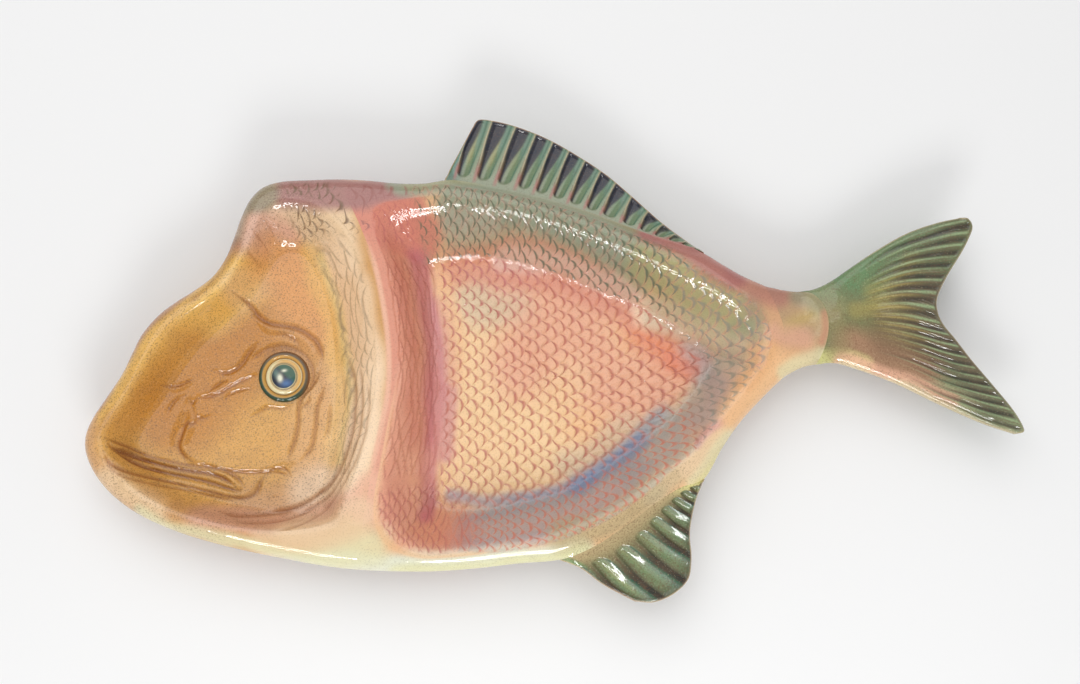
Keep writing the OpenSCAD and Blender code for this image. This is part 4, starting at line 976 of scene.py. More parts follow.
SCALE_BOW = 0.68
WIDENING = 600.0         # the columns grow wider towards the tail, over this length
JITTER = 0.05            # unevenness from scale to scale
FLOOR_PITCH = (4.5, 7.4)
CORNER_PITCH = (3.2, 7.4)
LOWER_PITCH = (3.8, 5.0)
BACK_PITCH = (3.2, 7.0)
NAPE_PITCH = (5.2, 7.6)
NAPE_TURN = -20.0
PICTURE_TURN = -7.0      # the columns lean from the fish's own length by this much
LINE_ROWS = 10.5         # lines across the trunk's wall beside the ridge
LINE_PITCH = 24.0        # length of a wave along them
NECK_ROWS = 8.0          # lines across the head's wall beside the ridge
NECK_PITCH = 17.0

# Crease under the back's wall, and the scalloped border behind the cheek
BACK_CREASE_SHARES = ((-125, 222), (-83, 228), (-41, 222), (0, 195), (42, 155), (83, 110), (125, 70),
                      (170, 0))
BORDER_SHARES = ((-225, 270), (-213, 200), (-210, 110), (-208, 40), (-212, -40))


def waves(p, size, seed):
    """Smooth unevenness with a reach of about size, from a few crossed waves."""
    rng = np.random.default_rng(seed)
    total = np.zeros(len(p))
    for _ in range(7):
        angle, phase = rng.uniform(0.0, 2.0 * math.pi, 2)
        rate = 2.0 * math.pi * rng.uniform(0.45, 1.25) / size
        total += np.sin(rate * (p[:, 0] * math.cos(angle) + p[:, 1] * math.sin(angle)) + phase)
    return total / math.sqrt(3.5)


def lattice(p, pitch, turn, wander, seed):
    """Columns and rows of scales at a place, both counted in scales."""
    c, s = math.cos(math.radians(turn)), math.sin(math.radians(turn))
    across = p[:, 0] * c + p[:, 1] * s
    a = across / pitch[0] * (1.0 - across / WIDENING)
    a = a + wander * waves(p, 26.0, seed) + JITTER * waves(p, 9.0, seed + 2)
    b = (p[:, 1] * c - p[:, 0] * s) / pitch[1]
    b = b + wander * waves(p, 22.0, seed + 1) + JITTER * waves(p, 8.0, seed + 3)
    return a, b


def fraction(t):
    return t - np.floor(t)


def scale_place(a, b):
    """Distances, in columns, behind the last scale's free edge and ahead to the next one. Columns are
    staggered, and each free edge bows towards the tail."""
    bow = [SCALE_BOW * (1.0 - 4.0 * (fraction(b + shift) - 0.5) ** 2) for shift in (0.0, 0.5)]
    even = fraction((a - bow[0]) / 2.0)
    odd = fraction((a - 1.0 - bow[1]) / 2.0)
    return 2.0 * np.minimum(even, odd), 2.0 * (1.0 - np.maximum(even, odd))


def scale_height(a, b):
    behind, ahead = scale_place(a, b)
    rise = behind / np.maximum(behind + ahead, 0.05)
    return rise ** 1.2 * smooth(ahead / 0.10) - 0.5


def scale_fill(a, b):
    """1 in the middle of a scale, 0 along the net between the scales."""
    behind, ahead = scale_place(a, b)
    return smooth((behind - 0.10) / 0.22) * smooth((ahead - 0.06) / 0.22)


def polyline(points):
    return free_curve(points, [6] * (len(points) - 1)) if len(points) > 2 else points


def near(p, path, reach):
    """Marks the points within reach of a path's box."""
    low, high = path.min(0) - reach, path.max(0) + reach
    return ((p > low) & (p < high)).all(1)


STEP_REACH = 7.0         # a step in the face runs out over this distance on both sides
LINE_END = 7.0           # a line of the face thins out over this distance towards its ends
LINE_END_SHARE = 0.35    # and has this share of its width there


def face_relief(p):
    """Height of the face's lines and forms, and the pigment that gathers in them."""
    height = np.zeros(len(p))
    pigment = np.zeros(len(p))
    for form, width, rise, ink, *shares in FACE_LINES:
        path = polyline(place(shares))
        spots = np.flatnonzero(near(p, path, STEP_REACH if form == "step" else 3.2 * width))
        q = p[spots]
        end = np.minimum(np.linalg.norm(q - path[0], axis=1), np.linalg.norm(q - path[-1], axis=1))
        if form == "step":
            d = side_of(q, path)
            fade = smooth(end / 6.0) * smooth(1.0 - np.abs(d) / STEP_REACH)
            height[spots] += rise * fade * (smooth(d / width * 0.5 + 0.5) - 0.5)
            continue
        taper = blend(LINE_END_SHARE, 1.0, smooth(end / LINE_END))
        d = path_distance(q, path) / (width * taper)
        height[spots] += (rise if form == "ridge" else -rise) * np.exp(-d * d) * taper
        pigment[spots] = np.maximum(pigment[spots], ink * taper * np.exp(-(d * 0.9) ** 2))
    return height, pigment


# Colour

def to_linear(rgb):
    c = np.asarray(rgb, dtype=float) / 255.0
    return np.where(c <= 0.04045, c / 12.92, ((c + 0.055) / 1.055) ** 2.4)


def spray(color, p, *groups):
    """Lays groups of sprays over colours one after another."""
    q = p + np.column_stack([waves(p, 30.0, 5), waves(p, 30.0, 6)]) * 0.7
    for glaze, core, soft, strength, *points in sum(groups, ()):
        path = polyline(np.array(points) + PICTURE_MIDDLE)
        spots = np.flatnonzero(near(q, path, core + soft))
        cover = strength * smooth(1.0 - (path_distance(q[spots], path) - core) / soft)
        color[spots] = blend(color[spots], to_linear(GLAZES[glaze]), cover[:, None])
    return color


def coat(p, glaze):
    return np.tile(to_linear(GLAZES[glaze]), (len(p), 1))


def tint(color, *coats):
    """Lays coats over colours one after another, each a glaze and how much of each point it covers."""
    for glaze, cover in coats:
        color = blend(color, to_linear(GLAZES[glaze]), np.clip(cover, 0.0, 1.0)[:, None])
    return color


def within(x, low, high, soft):
    return smooth((x - low) / soft + 0.5) * smooth((high - x) / soft + 0.5)


def peak(x, middle, width, y=0.0, y_middle=0.0, y_width=1.0):
    """1 at the middle, and falling off around it within about the width."""
    return np.exp(-((x - middle) / width) ** 2 - ((y - y_middle) / y_width) ** 2)


def dress(skin, color, grain, ink=None, cells=None):
    """Keeps the colours of a skin's points, how speckled it is, and its scales with their pigment."""
    n = len(skin.points)
    layers = {"glaze": np.clip(color, 0.0, 1.0)}
    if cells is not None:
        layers.update(pigment=ink, cells=cells)
    layers["grain"] = np.tile(np.broadcast_to(grain, n)[:, None], 3)
    skin.colors = {key: np.column_stack([values, np.ones(n)]) for key, values in layers.items()}


def push(skin, normal, height):
    skin.points = skin.points + normal * (height * skin.upper)[:, None]


def edges_clear(*shares):
    """1 inside regions and outside them, 0 on their borders, so that patterns don't run into each other."""
    clear = 1.0
    for share in shares:
        clear = clear * np.clip(np.abs(share - 0.5) * 2.0, 0.0, 1.0)
    return clear


def crest_highlight_tint(color, p, y):
    """A painted highlight along the crest of the ridge, the same on the head's side and on the trunk's."""
    away = path_distance(p, seam)
    # Painted highlight: a pale shell line along the ridge's crest
    return tint(color, ("shell", 0.95 * smooth(1.0 - (away - 0.3) / 2.0) * within(y, -56.0, 60.0, 26.0)))


# Trunk. Places in its patterns are x and y in mm, y from the middle of the picture, and s, which runs from
# 0 at the edge over 1 at the lip to 2 at the edge of the floor. The patterns are listed in this order:
# nape, back, lines beside the ridge, corners at their ends, lower wall, and the floor for all the rest.
RELIEF_HEIGHTS = (0.50, 0.36, 1.00, 0.95, 0.55, 0.95)
INK_STRENGTHS = (0.80, 0.85, 0.30, 0.60, 0.80, 0.85)


def trunk_regions(p, s, x, y):
    """How far each place belongs to each pattern but the floor's, and which one it takes."""
    side = smooth((64.0 - y) / 10.0) * smooth((y + 66.0) / 10.0)
    ridge_wall = within(s, 1.04, 2.06, 0.05) * smooth((-46.0 - x) / 5.0)
    left, corner = ridge_wall * side, ridge_wall * (1.0 - side)
    crease = side_of(p, polyline(place(BACK_CREASE_SHARES)))
    back_start = blend(0.40, 1.0, smooth((x - 72.0) / 22.0))
    back = (smooth((s - back_start) / 0.08 + 0.5) * smooth((2.2 - s) / 0.06) * smooth((crease - 0.5) / 2.0)
            * smooth((x + 58.0) / 6.0))
    nape = within(s, 0.25, 1.02, 0.2) * smooth((y - 62.0) / 10.0) * smooth((-38.0 - x) / 14.0)
    below = smooth((-58.0 - y + 0.35 * np.maximum(x, 0.0)) / 8.0) * smooth((x + 66.0) / 14.0)
    lower_start = blend(1.04, 0.82, smooth((x + 54.0) / 20.0) * smooth((56.0 - x) / 20.0))
    lower = (smooth((s - lower_start) / 0.08 + 0.5) * smooth((1.98 - s) / 0.06 + 0.5)
             * np.maximum(below, smooth((x - 62.0) / 8.0)) * (1.0 - back))
    shares = (nape, back, left, corner, lower)
    use_nape, use_back, use_left, use_corner, use_lower = (share > 0.5 for share in shares)
    use_left = use_left & ~use_back
    uses = [use_nape & ~use_back & (s < 1.03), use_back, use_left, use_corner & ~use_back,
            use_lower & ~use_back & ~use_left]
    return shares, uses


def dress_trunk(skin):
    p, s = skin.points[:, :2], skin.rows
    x, y = p[:, 0], p[:, 1] - PICTURE_MIDDLE[1]
    shares, uses = trunk_regions(p, s, x, y)
    back, corner, lower = shares[1], shares[3], shares[4]
    patterns = (
        lattice(p, NAPE_PITCH, NAPE_TURN, 0.25, 41),
        lattice(p, BACK_PITCH, PICTURE_TURN, 0.12, 21),
        ((s - 1.0) * LINE_ROWS + 0.30 * waves(p * (1.0, 0.5), 16.0, 31),
         y / LINE_PITCH + 0.25 * waves(p, 40.0, 32)),
        lattice(p, CORNER_PITCH, PICTURE_TURN, 0.2, 71),
        lattice(p, LOWER_PITCH, PICTURE_TURN, 0.12, 61),
        lattice(p, FLOOR_PITCH, PICTURE_TURN, 0.07, 11))
    a, b = (np.select(uses, [pattern[k] for pattern in patterns[:-1]], patterns[-1][k]) for k in (0, 1))
    size = np.select(uses, shares, within(s, 1.06, 9.0, 0.10)) * edges_clear(*shares)
    calm = 1.0 - 0.65 * smooth((y - 48.0) / 12.0) * smooth((-14.0 - x) / 14.0)
    height = calm * size * np.select(uses, RELIEF_HEIGHTS[:-1], RELIEF_HEIGHTS[-1]) * scale_height(a, b)
    # The sprayed ground with some painted light in it, the painted highlight along the ridge's crest, then
    # the nets between the scales and the scales themselves
    rear = within(s, 1.0, 2.0, 0.08) * smooth((x - 66.0) / 16.0)
    band = within(s, 1.86, 2.16, 0.10) * smooth((x + 60.0) / 10.0) * smooth((-44.0 - y) / 8.0)
    fill = scale_fill(a, b)
    net = 1.0 - fill
    color = tint(
        spray(coat(p, "peach"), p, TRUNK_SPRAYS, RIM_SPRAYS),
        ("coral", 0.85 * corner * smooth(y / 20.0)),
        ("peach", 0.75 * peak(s, 0.93, 0.12) * smooth((-30.0 - x) / 20.0) * smooth(-y / 40.0)))
    color = tint(
        crest_highlight_tint(color, p, y),
        ("coral", back * net * 0.42),
        ("olive", back * fill * 0.15 * smooth((s - 1.3) / 0.5)),
        ("pine", back * fill * 0.10),
        ("coral", lower * net * 0.12),
        ("slate", lower * (1.0 - rear) * fill * 0.30),
        ("coral", band * (1.0 - lower) * net * 0.4))
    ink = tint(
        coat(p, "brick") * 0.88,
        ("pine", back * 0.92),
        ("brick", lower),
        ("teal", rear * 0.95),
        ("plum", smooth((-40.0 - x) / 12.0) * smooth((-40.0 - y) / 20.0) * 0.5),
        ("umber", uses[0] * 0.9),
        ("plum", smooth((y - 8.0) / 20.0) * smooth((12.0 - x) / 25.0) * (1.0 - back) * 0.35))
    strength = ((1.0 - 0.35 * rear) * (1.0 - 0.4 * band) * size
                * np.select(uses, INK_STRENGTHS[:-1], INK_STRENGTHS[-1]))
    grain = 0.35 + 0.6 * smooth((1.05 - s) / 0.1) * within(x, 0.0, 66.0, 16.0) * smooth((-60.0 - y) / 10.0)
    dress(skin, color, grain, ink, np.column_stack([a, b, strength]))
    return height


SCALLOP_PITCH = 8.5
SCALLOP_DEPTH = 1.5
BORDER_STEP = 0.8        # height of the step at the scalloped border


def dress_head(skin):
    """The face, and behind its scalloped border the nape's scales and the neck's lines."""
    p, s = skin.points[:, :2], skin.rows
    x, y = p[:, 0], p[:, 1] - PICTURE_MIDDLE[1]
    height, pigment = face_relief(p)
    neck = (within(s, 1.08, 1.80, 0.12) * smooth((x + 122.0) / 8.0) * smooth((78.0 - y) / 14.0)
            * smooth((y + 64.0) / 14.0))
    top = smooth((y - 62.0) / 14.0) * smooth((x + 124.0) / 10.0)
    nape = within(s, 0.25, 1.8, 0.2) * top * (1.0 - within(s, 0.96, 1.14, 0.06))
    use_nape = nape > neck
    scales = lattice(p, NAPE_PITCH, NAPE_TURN, 0.25, 41)
    lines = ((s - 1.0) * NECK_ROWS + 0.35 * waves(p * (1.0, 0.5), 15.0, 33),
             y / NECK_PITCH + 0.3 * waves(p, 40.0, 34))
    a, b = (np.where(use_nape, scales[k], lines[k]) for k in (0, 1))
    size = np.clip(np.abs(nape - neck), 0.0, 1.0)
    border = side_of(p, polyline(place(BORDER_SHARES)))
    border = border + SCALLOP_DEPTH * np.abs(np.sin(math.pi * (y + 0.15 * x) / SCALLOP_PITCH))
    border_on = smooth((y + 22.0) / 14.0) * smooth((66.0 - y) / 14.0)
    height = (height + np.where(use_nape, 0.55, 0.40) * size * scale_height(a, b)
              - BORDER_STEP * border_on * (smooth(border / 1.4 + 0.5) - 0.5)
              * smooth(1.0 - np.abs(border) / 6.0))
    color = tint(spray(coat(p, "ochre"), p, HEAD_SPRAYS, RIM_SPRAYS),
                 ("umber", 0.50 * border_on * peak(border, 0.0, 0.7)))
    color = tint(crest_highlight_tint(color, p, y), ("bark", pigment))
    ink = tint(coat(p, "umber"), ("moss", neck * 0.3))
    grain = blend(0.35, 1.1, smooth((-90.0 - x) / 30.0)) * blend(1.0, 0.2, smooth((-66.0 - y) / 16.0))
    dress(skin, color, grain, ink, np.column_stack([a, b, size * np.where(use_nape, 0.85, 0.45)]))
    return height


def dress_stem(skin):
    p = skin.points[:, :2]
    dress(skin, spray(coat(p, "wheat"), p, RIM_SPRAYS), 0.35)


# How the glaze lies over each fin: its ground, the shade of the flutes and how strong it is, the streak
# beside it, the strip along the front, the rear end, the edge, and how strong the crests' feet and the
# painted shade just inside them are
FIN_LOOKS = {
    "dorsal_fin": ("reed", "ink_navy", 0.95, "fern", "teal", "rose", "tan", 0.75),
    "anal_fin": ("khaki", "pine", 0.30, "reed", "leaf", "lemon", "sand", 0.0),
}


def dress_fin(skin):
    """Colours across the flutes of a fin: x from -1 to 1 across each one, v from root to edge."""
    ground, shade, depth, streak, front, rear_glaze, border, foot_and_shade_share = FIN_LOOKS[skin.name]
    x, v, reach, back = (skin.grid[key].ravel() for key in ("x", "v", "reach", "back"))
    start = skin.grid["start"]
    anal_one = float(skin.name == "anal_fin")
    inside = flute_end(x, v, start)
    rear = smooth((back - 0.62) / 0.3)
    edge = blend(-0.45, 0.40, smooth((v - 0.15) / 0.75))
    navy = blend(0.85, 0.25, anal_one) * (1.0 - rear)
    foot = within(v, start - 0.03, start + 0.22, 0.15) * peak(x, -1.10, 0.28)
    length = smooth((v - start + 0.03) / 0.05)
    color = tint(
        coat(v, ground),
        ("wheat", 0.8 * anal_one * smooth((0.30 - v) / 0.3)),
        ("fern", 0.35 * smooth((v - 0.05) / 0.3) * (1.0 - rear)),
        ("umber", 0.55 * smooth((-x - 0.95) / 0.3) * smooth((v - 0.12) / 0.2)),
        (front, 0.85 * smooth((0.062 - back) / 0.03) * smooth((v + 0.25) / 0.4)),
        (rear_glaze, 0.85 * rear * (1.0 - inside)),
        # Flutes: dark on the side towards the head and outwards, green on the other, with a line beside it
        (streak, (blend(0.75, 0.95, anal_one) - 0.3 * rear) * inside * within(x, 0.0, 0.95, 0.3)),
        ("olive", 0.75 * inside * within(x, -0.15, 0.40, 0.3) * smooth((0.24 - back) / 0.12)
         * within(v, 0.30, 0.85, 0.3)),
        ("teal", 0.55 * inside * within(x, 0.3, 0.95, 0.3) * smooth((v - 0.4) / 0.3)),
        (shade, depth * (1.0 - 0.75 * rear) * inside * within(x, -0.95, edge, 0.35)),
        ("ink_navy", navy * inside * within(x, -1.0, edge - 0.3, 0.3) * smooth((v - 0.3) / 0.3)),
        ("soot", 0.95 * anal_one * smooth((np.abs(x) - 0.66) / 0.22) * smooth((v - 0.12) / 0.5)),
        ("leaf", 0.35 * anal_one * inside * within(x, -0.5, 0.5, 0.4)),
        ("soot", 0.5 * anal_one * smooth((v - 0.75) / 0.25) * smooth((0.75 - back) / 0.1)),
        ("pine", 0.85 * inside * peak(x, 0.80, 0.13)),
        # Painted shade: umber just inside each crest, on the steep side of the flute, in its lower half
        ("umber", foot_and_shade_share * inside * peak(x, -0.92, 0.14) * smooth((0.6 - v) / 0.3)),
        # The crest in front of each flute, paler where the glaze has run off it, and red at its foot
        ("sage", 0.7 * (1.0 - anal_one) * length * peak(x, -1.08, 0.08) * smooth((v - 0.15) / 0.3)),
        ("rose", foot_and_shade_share * foot),
        (border, 0.75 * smooth(1.0 - reach)))
    full = coat(skin.points, ground)
    full[:len(v)] = color
    dress(skin, full, blend(0.4, 1.1, anal_one))


TAIL_RAYS = 19
TAIL_GROOVE = 1.0        # depth of the deepest grooves between the rays
TAIL_FINE = 0.12         # height of the fine ribs on the rays


def dress_tail(skin):
    """Rays with fine ribs on them, and a dark groove of its own depth and length between each two, with a
    painted highlight along one side of it.
    """
    m = tail_u.size
    p = skin.points[:, :2]
    u, v, reach = tail_u.ravel(), tail_v.ravel(), tail_reach.ravel()
    q = p[:m]
    ray = u * TAIL_RAYS + 0.16 * waves(q, 70.0, 51)
    number = np.floor(ray)
    place_in = ray - number - 0.5
    rng = np.random.default_rng(8)
    deep = rng.uniform(0.3, 1.0, TAIL_RAYS + 4)[np.clip(number.astype(int), 0, TAIL_RAYS + 3)]
    out = smooth((v - blend(0.55, 0.22, deep)) / 0.5)
    line = peak(place_in + 0.08 * waves(q, 30.0, 53), 0.0, blend(0.14, 0.30, deep)) * out
    clear = smooth((reach - 1.0) / 1.5)
    fine = np.sin(2.0 * math.pi * (ray * 4.0 + 0.45 * waves(q, 28.0, 52))) * smooth((v - 0.30) / 0.5)
    color = spray(coat(p, "meadow"), p, TAIL_SPRAYS)
    color[:m] = tint(
        color[:m],
        ("umber", 0.5 * (0.5 + 0.5 * fine) * smooth((v - 0.25) / 0.5)),
        ("moss", 0.15 * smooth((v - 0.60) / 0.3)),
        ("gold", 0.40 * within(u, 0.22, 0.62, 0.25) * within(v, 0.42, 0.80, 0.3)
         * peak(np.abs(place_in), 0.34, 0.12)),
        # Painted highlight: a pale line along one side of each groove
        ("celadon", 0.9 * peak(place_in, 0.34, 0.12) * out * clear),
        ("soot", 0.92 * line * clear * deep ** 0.3),
        ("sage", 0.75 * smooth(1.0 - reach / 1.1) * smooth((v - 0.3) / 0.2)))
    dress(skin, color, 0.8)
    height = np.zeros(len(p))
    height[:m] = clear * (TAIL_FINE * fine - TAIL_GROOVE * line * deep ** 0.5)
    return height


# Shading: all pieces share their points on the joints, so the shading runs over the joints.

WELD = 0.002


def weld(skins):
    """Gives every point of every skin its number among the places that they share."""
    everything = np.vstack([skin.points for skin in skins])
    keys = np.round(everything / WELD).astype(np.int64)
    _, number = np.unique(keys, axis=0, return_inverse=True)
    return number.reshape(-1)


def shared_normals(skins, number):
    """Normals at the shared places, from all the faces that show."""
    total = np.zeros((number.max() + 1, 3))
    first = 0
    for skin in skins:
        p = skin.points
        f = skin.faces[~skin.hidden]
        face_normal = np.cross(p[f[:, 1]] - p[f[:, 0]], p[f[:, 2]] - p[f[:, 0]])
        for k in range(3):
            a, b, c = p[f[:, k]], p[f[:, (k + 1) % 3]], p[f[:, (k + 2) % 3]]
            ab, ac = b - a, c - a
            lengths = np.linalg.norm(ab, axis=1) * np.linalg.norm(ac, axis=1)
            cosine = (ab * ac).sum(1) / np.maximum(lengths, 1e-9)
            angle = np.arccos(np.clip(cosine, -1.0, 1.0))
            unit = face_normal / np.maximum(np.linalg.norm(face_normal, axis=1), 1e-12)[:, None]
            where = number[first + f[:, k]]
            for axis in range(3):
                total[:, axis] += np.bincount(where, unit[:, axis] * angle, len(total))
        first += len(p)
    length = np.maximum(np.linalg.norm(total, axis=1), 1e-9)
    normals = (total / length[:, None])[number]
    return np.split(normals, np.cumsum([len(skin.points) for skin in skins])[:-1])


def add_object(name, data):
    thing = bpy.data.objects.new(name, data)
    bpy.context.scene.collection.objects.link(thing)
    return thing


def make_mesh(name, skin, normals):
    points, faces = skin.points, skin.faces
    mesh = bpy.data.meshes.new(name)
    mesh.vertices.add(len(points))
    mesh.vertices.foreach_set("co", (points * MM).astype(np.float32).ravel())
    mesh.loops.add(3 * len(faces))
    mesh.loops.foreach_set("vertex_index", faces.astype(np.int32).ravel())
    mesh.polygons.add(len(faces))
    mesh.polygons.foreach_set("loop_start", np.arange(len(faces), dtype=np.int32) * 3)
    mesh.polygons.foreach_set("use_smooth", np.ones(len(faces), bool))
    mesh.update(calc_edges=True)
    for key, values in skin.colors.items():
        layer = mesh.attributes.new(key, "FLOAT_COLOR", "POINT")
        layer.data.foreach_set("color", values.astype(np.float32).ravel())
    mesh.normals_split_custom_set_from_vertices(normals.astype(np.float32).tolist())
    return add_object(name, mesh)


skins = [trunk, head, stem, dorsal, anal, tail]
number = weld(skins)
normals = shared_normals(skins, number)
dress_stem(stem)
dress_fin(dorsal)
dress_fin(anal)
push(trunk, normals[0], dress_trunk(trunk))
push(head, normals[1], dress_head(head))
push(tail, normals[5], dress_tail(tail))
normals = shared_normals(skins, number)


def even_out(normal, n, step):
    """Normals of the first n points of a skin, of which every step-th is shared with its neighbour."""
    shared = normal[:n:step].copy()
    for axis in range(3):
        normal[:n, axis] = np.interp(np.arange(n) / step, np.arange(len(shared)), shared[:, axis])


even_out(normals[3], len(dorsal_root), 2)
even_out(normals[4], len(anal_root), 2)
even_out(normals[5], len(tail_root), 4)


# Materials

class Value:
    """A socket of a node tree, to calculate with."""
    def __init__(self, tree, socket):
        self.tree = tree
        self.socket = socket

    def __add__(self, other):
        return self.tree.math("ADD", self, other)

    def __sub__(self, other):
        return self.tree.math("SUBTRACT", self, other)

    def __rsub__(self, other):
        return self.tree.math("SUBTRACT", other, self)

    def __mul__(self, other):
        return self.tree.math("MULTIPLY", self, other)

    def __truediv__(self, other):
        return self.tree.math("DIVIDE", self, other)


class Tree:
    """Short names for building the node tree of a material."""
    def __init__(self, name):
        self.material = bpy.data.materials.new(name)
        self.material.use_nodes = True
        self.nodes = self.material.node_tree.nodes
        self.links = self.material.node_tree.links
        self.shader = self.nodes["Principled BSDF"]

    def put(self, value, socket):
        if isinstance(value, Value):
            self.links.new(value.socket, socket)
        elif isinstance(value, tuple):
            socket.default_value = (*value, 1.0)
        else:
            socket.default_value = value

    def math(self, operation, a, b=0.0, clamp=False):
        node = self.nodes.new("ShaderNodeMath")
        node.operation = operation
        node.use_clamp = clamp
        self.put(a, node.inputs[0])
        self.put(b, node.inputs[1])
        return Value(self, node.outputs[0])

    def rest(self, value):
        """What is left of 1 after a value, and never less than 0."""
        return self.math("SUBTRACT", 1.0, value, clamp=True)

    def larger(self, a, b):
        return self.math("MAXIMUM", a, b)

    def mix(self, fac, a, b):
        node = self.nodes.new("ShaderNodeMix")
        node.data_type = "RGBA"
        for value, socket in ((fac, 0), (a, 6), (b, 7)):
            self.put(value, node.inputs[socket])
        return Value(self, node.outputs[2])

    def layer(self, name):
        node = self.nodes.new("ShaderNodeAttribute")
        node.attribute_name = name
        return Value(self, node.outputs["Color"])

    def parts(self, color):
        node = self.nodes.new("ShaderNodeSeparateColor")
        self.put(color, node.inputs[0])
        return [Value(self, node.outputs[k]) for k in range(3)]

    def noise(self, scale, detail):
        where = self.nodes.new("ShaderNodeTexCoord")
        node = self.nodes.new("ShaderNodeTexNoise")
        node.inputs["Scale"].default_value = scale
        node.inputs["Detail"].default_value = detail
        self.links.new(where.outputs["Object"], node.inputs["Vector"])
        return Value(self, node.outputs["Fac"])

    def ramp(self, value, low, high, out_low=0.0, out_high=1.0):
        node = self.nodes.new("ShaderNodeMapRange")
        node.interpolation_type = "SMOOTHSTEP"
        self.put(value, node.inputs["Value"])
        keys = ("From Min", "From Max", "To Min", "To Max")
        for key, number in zip(keys, (low, high, out_low, out_high)):
            node.inputs[key].default_value = number
        return Value(self, node.outputs["Result"])

    def surface(self, color, roughness):
        self.put(color, self.shader.inputs["Base Color"])
        self.put(roughness, self.shader.inputs["Roughness"])

    def bump(self, height, distance, strength):
        node = self.nodes.new("ShaderNodeBump")
        node.inputs["Distance"].default_value = distance
        node.inputs["Strength"].default_value = strength
        self.put(height, node.inputs["Height"])
        self.links.new(node.outputs["Normal"], self.shader.inputs["Normal"])


# Pigment along a scale's free edge, all in columns: how far its thickest place lies off the middle, its
# width there, how fast it thins out, its least share of that width and its share ahead of the edge
INK_LEAN = 0.12
INK_WIDTH = 0.44
INK_FULL_SHARE = 1.1
INK_THINNING = 4.2
INK_LEAST_SHARE = 0.04
INK_AHEAD_SHARE = 0.45


def scale_ink(tree, a, b):
    """The dark crescents along the free edges of the scales, the same pattern as scale_height."""
    lines = []
    for column, shift in ((0.0, 0.0), (1.0, 0.5)):
        t = tree.math("FRACT", b + shift) - 0.5
        bow = SCALE_BOW - t * t * (4.0 * SCALE_BOW)
        behind = tree.math("FRACT", (a - column - bow) * 0.5)
        lean = t - INK_LEAN
        width = tree.larger(INK_FULL_SHARE - lean * lean * INK_THINNING, INK_LEAST_SHARE) * INK_WIDTH
        ahead = (1.0 - behind) * 2.0
        lines.append(tree.larger(tree.rest(behind * 2.0 / width),
                                 tree.rest(ahead / (width * INK_AHEAD_SHARE))))
    return tree.ramp(tree.larger(*lines), 0.0, 0.85)


def glaze(name, scales=False):
    """Brushed and sprayed colours under a clear, slightly uneven glaze."""
    tree = Tree(name)
    color = tree.layer("glaze")
    grain = tree.parts(tree.layer("grain"))[0]
    cloud, grit, dots = tree.noise(170.0, 3.0), tree.noise(1200.0, 2.0), tree.noise(620.0, 1.0)
    # Mottle, dark and pale grit and single dark specks: where each starts and is full, most of it, colour
    for noise, low, high, most, speck in ((cloud, 0.35, 0.68, 0.13, (0.30, 0.17, 0.09)),
                                          (grit, 0.52, 0.66, 0.46, (0.16, 0.08, 0.04)),
                                          (grit, 0.42, 0.28, 0.16, (0.92, 0.74, 0.45)),
                                          (dots, 0.70, 0.77, 0.30, (0.07, 0.035, 0.02))):
        color = tree.mix(grain * tree.ramp(noise, low, high, 0.0, most), color, speck)
    if scales:
        a, b, amount = tree.parts(tree.layer("cells"))
        rough_edge = (tree.noise(420.0, 2.0) - 0.5) * 0.14
        wash = tree.ramp(tree.noise(260.0, 2.0), 0.3, 0.6, 0.55, 1.0)
        color = tree.mix(scale_ink(tree, a + rough_edge, b) * amount * wash, color, tree.layer("pigment"))
    tree.surface(color, tree.ramp(cloud, 0.3, 0.7, 0.05, 0.11))
    tree.shader.inputs["IOR"].default_value = 1.5
    tree.bump(tree.noise(55.0, 2.0) + tree.noise(240.0, 2.0) * 0.22, 0.0005, 0.6)
    return tree.material


def bisque(name):
    """Bare fired clay, with the grit of the body and the wear of use."""
    tree = Tree(name)
    grit, cloud = tree.noise(900.0, 4.0), tree.noise(60.0, 3.0)
    color = tree.mix(tree.ramp(cloud, 0.3, 0.7), (0.74, 0.66, 0.54), (0.66, 0.55, 0.42))
    color = tree.mix(tree.ramp(grit, 0.6, 0.75, 0.0, 0.4), color, (0.40, 0.30, 0.20))
    tree.surface(color, tree.ramp(grit, 0.3, 0.7, 0.62, 0.80))
    tree.bump(grit, 0.0002, 0.5)
    return tree.material


def keep(piece, material, node, slot):
    piece.data.materials.append(material)
    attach(piece, "root")
    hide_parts(node)


SLOTS = {"trunk_dish": "trunk_glaze", "head_dish": "head_glaze", "tail_stem": "stem_glaze",
         "dorsal_fin": "dorsal_glaze", "anal_fin": "anal_glaze", "tail_fin": "tail_glaze"}
for skin, normal in zip(skins, normals):
    slot_name = SLOTS[skin.name]
    keep(make_mesh(skin.name + "_glazed", skin, normal), glaze(slot_name, skin.name.endswith("_dish")),
         skin.name, slot_name)


def own_normals(skin):
    return shared_normals([skin], weld([skin]))[0]


# Eye: a ring and a ball, turned about the middle of the eye
EYE_SIDES = 160
EYE_SEAT = 1.5           # both reach this far into the floor


def turned(name, profile, color_at, node, slot_name):
    """A piece turned from a profile of radii and heights, with colours from the radius and the angle."""
    middle = place(EYE_SHARE)
    angles = np.arange(EYE_SIDES) * 2.0 * math.pi / EYE_SIDES
    skin = Skin(name)
    before = None
    for r, z in profile:
        on_axis = r < 1e-6
        turn = np.zeros(1) if on_axis else angles
        row = skin.add(np.column_stack([middle[0] + r * np.cos(turn), middle[1] + r * np.sin(turn),
                                        np.full(len(turn), HEAD_FLOOR_Z + z)]))
        if before is not None:
            if on_axis:
                skin.fan(before, row[0], False)
            elif len(before) == 1:
                skin.fan(row, before[0], True)
            else:
                skin.band(row, before)
        before = row
    skin.finish()
    q = skin.points[:, :2] - middle
    dress(skin, color_at(np.hypot(q[:, 0], q[:, 1]), np.arctan2(q[:, 1], q[:, 0])), 0.15)
    keep(make_mesh(name, skin, own_normals(skin)), glaze(slot_name), node, slot_name)


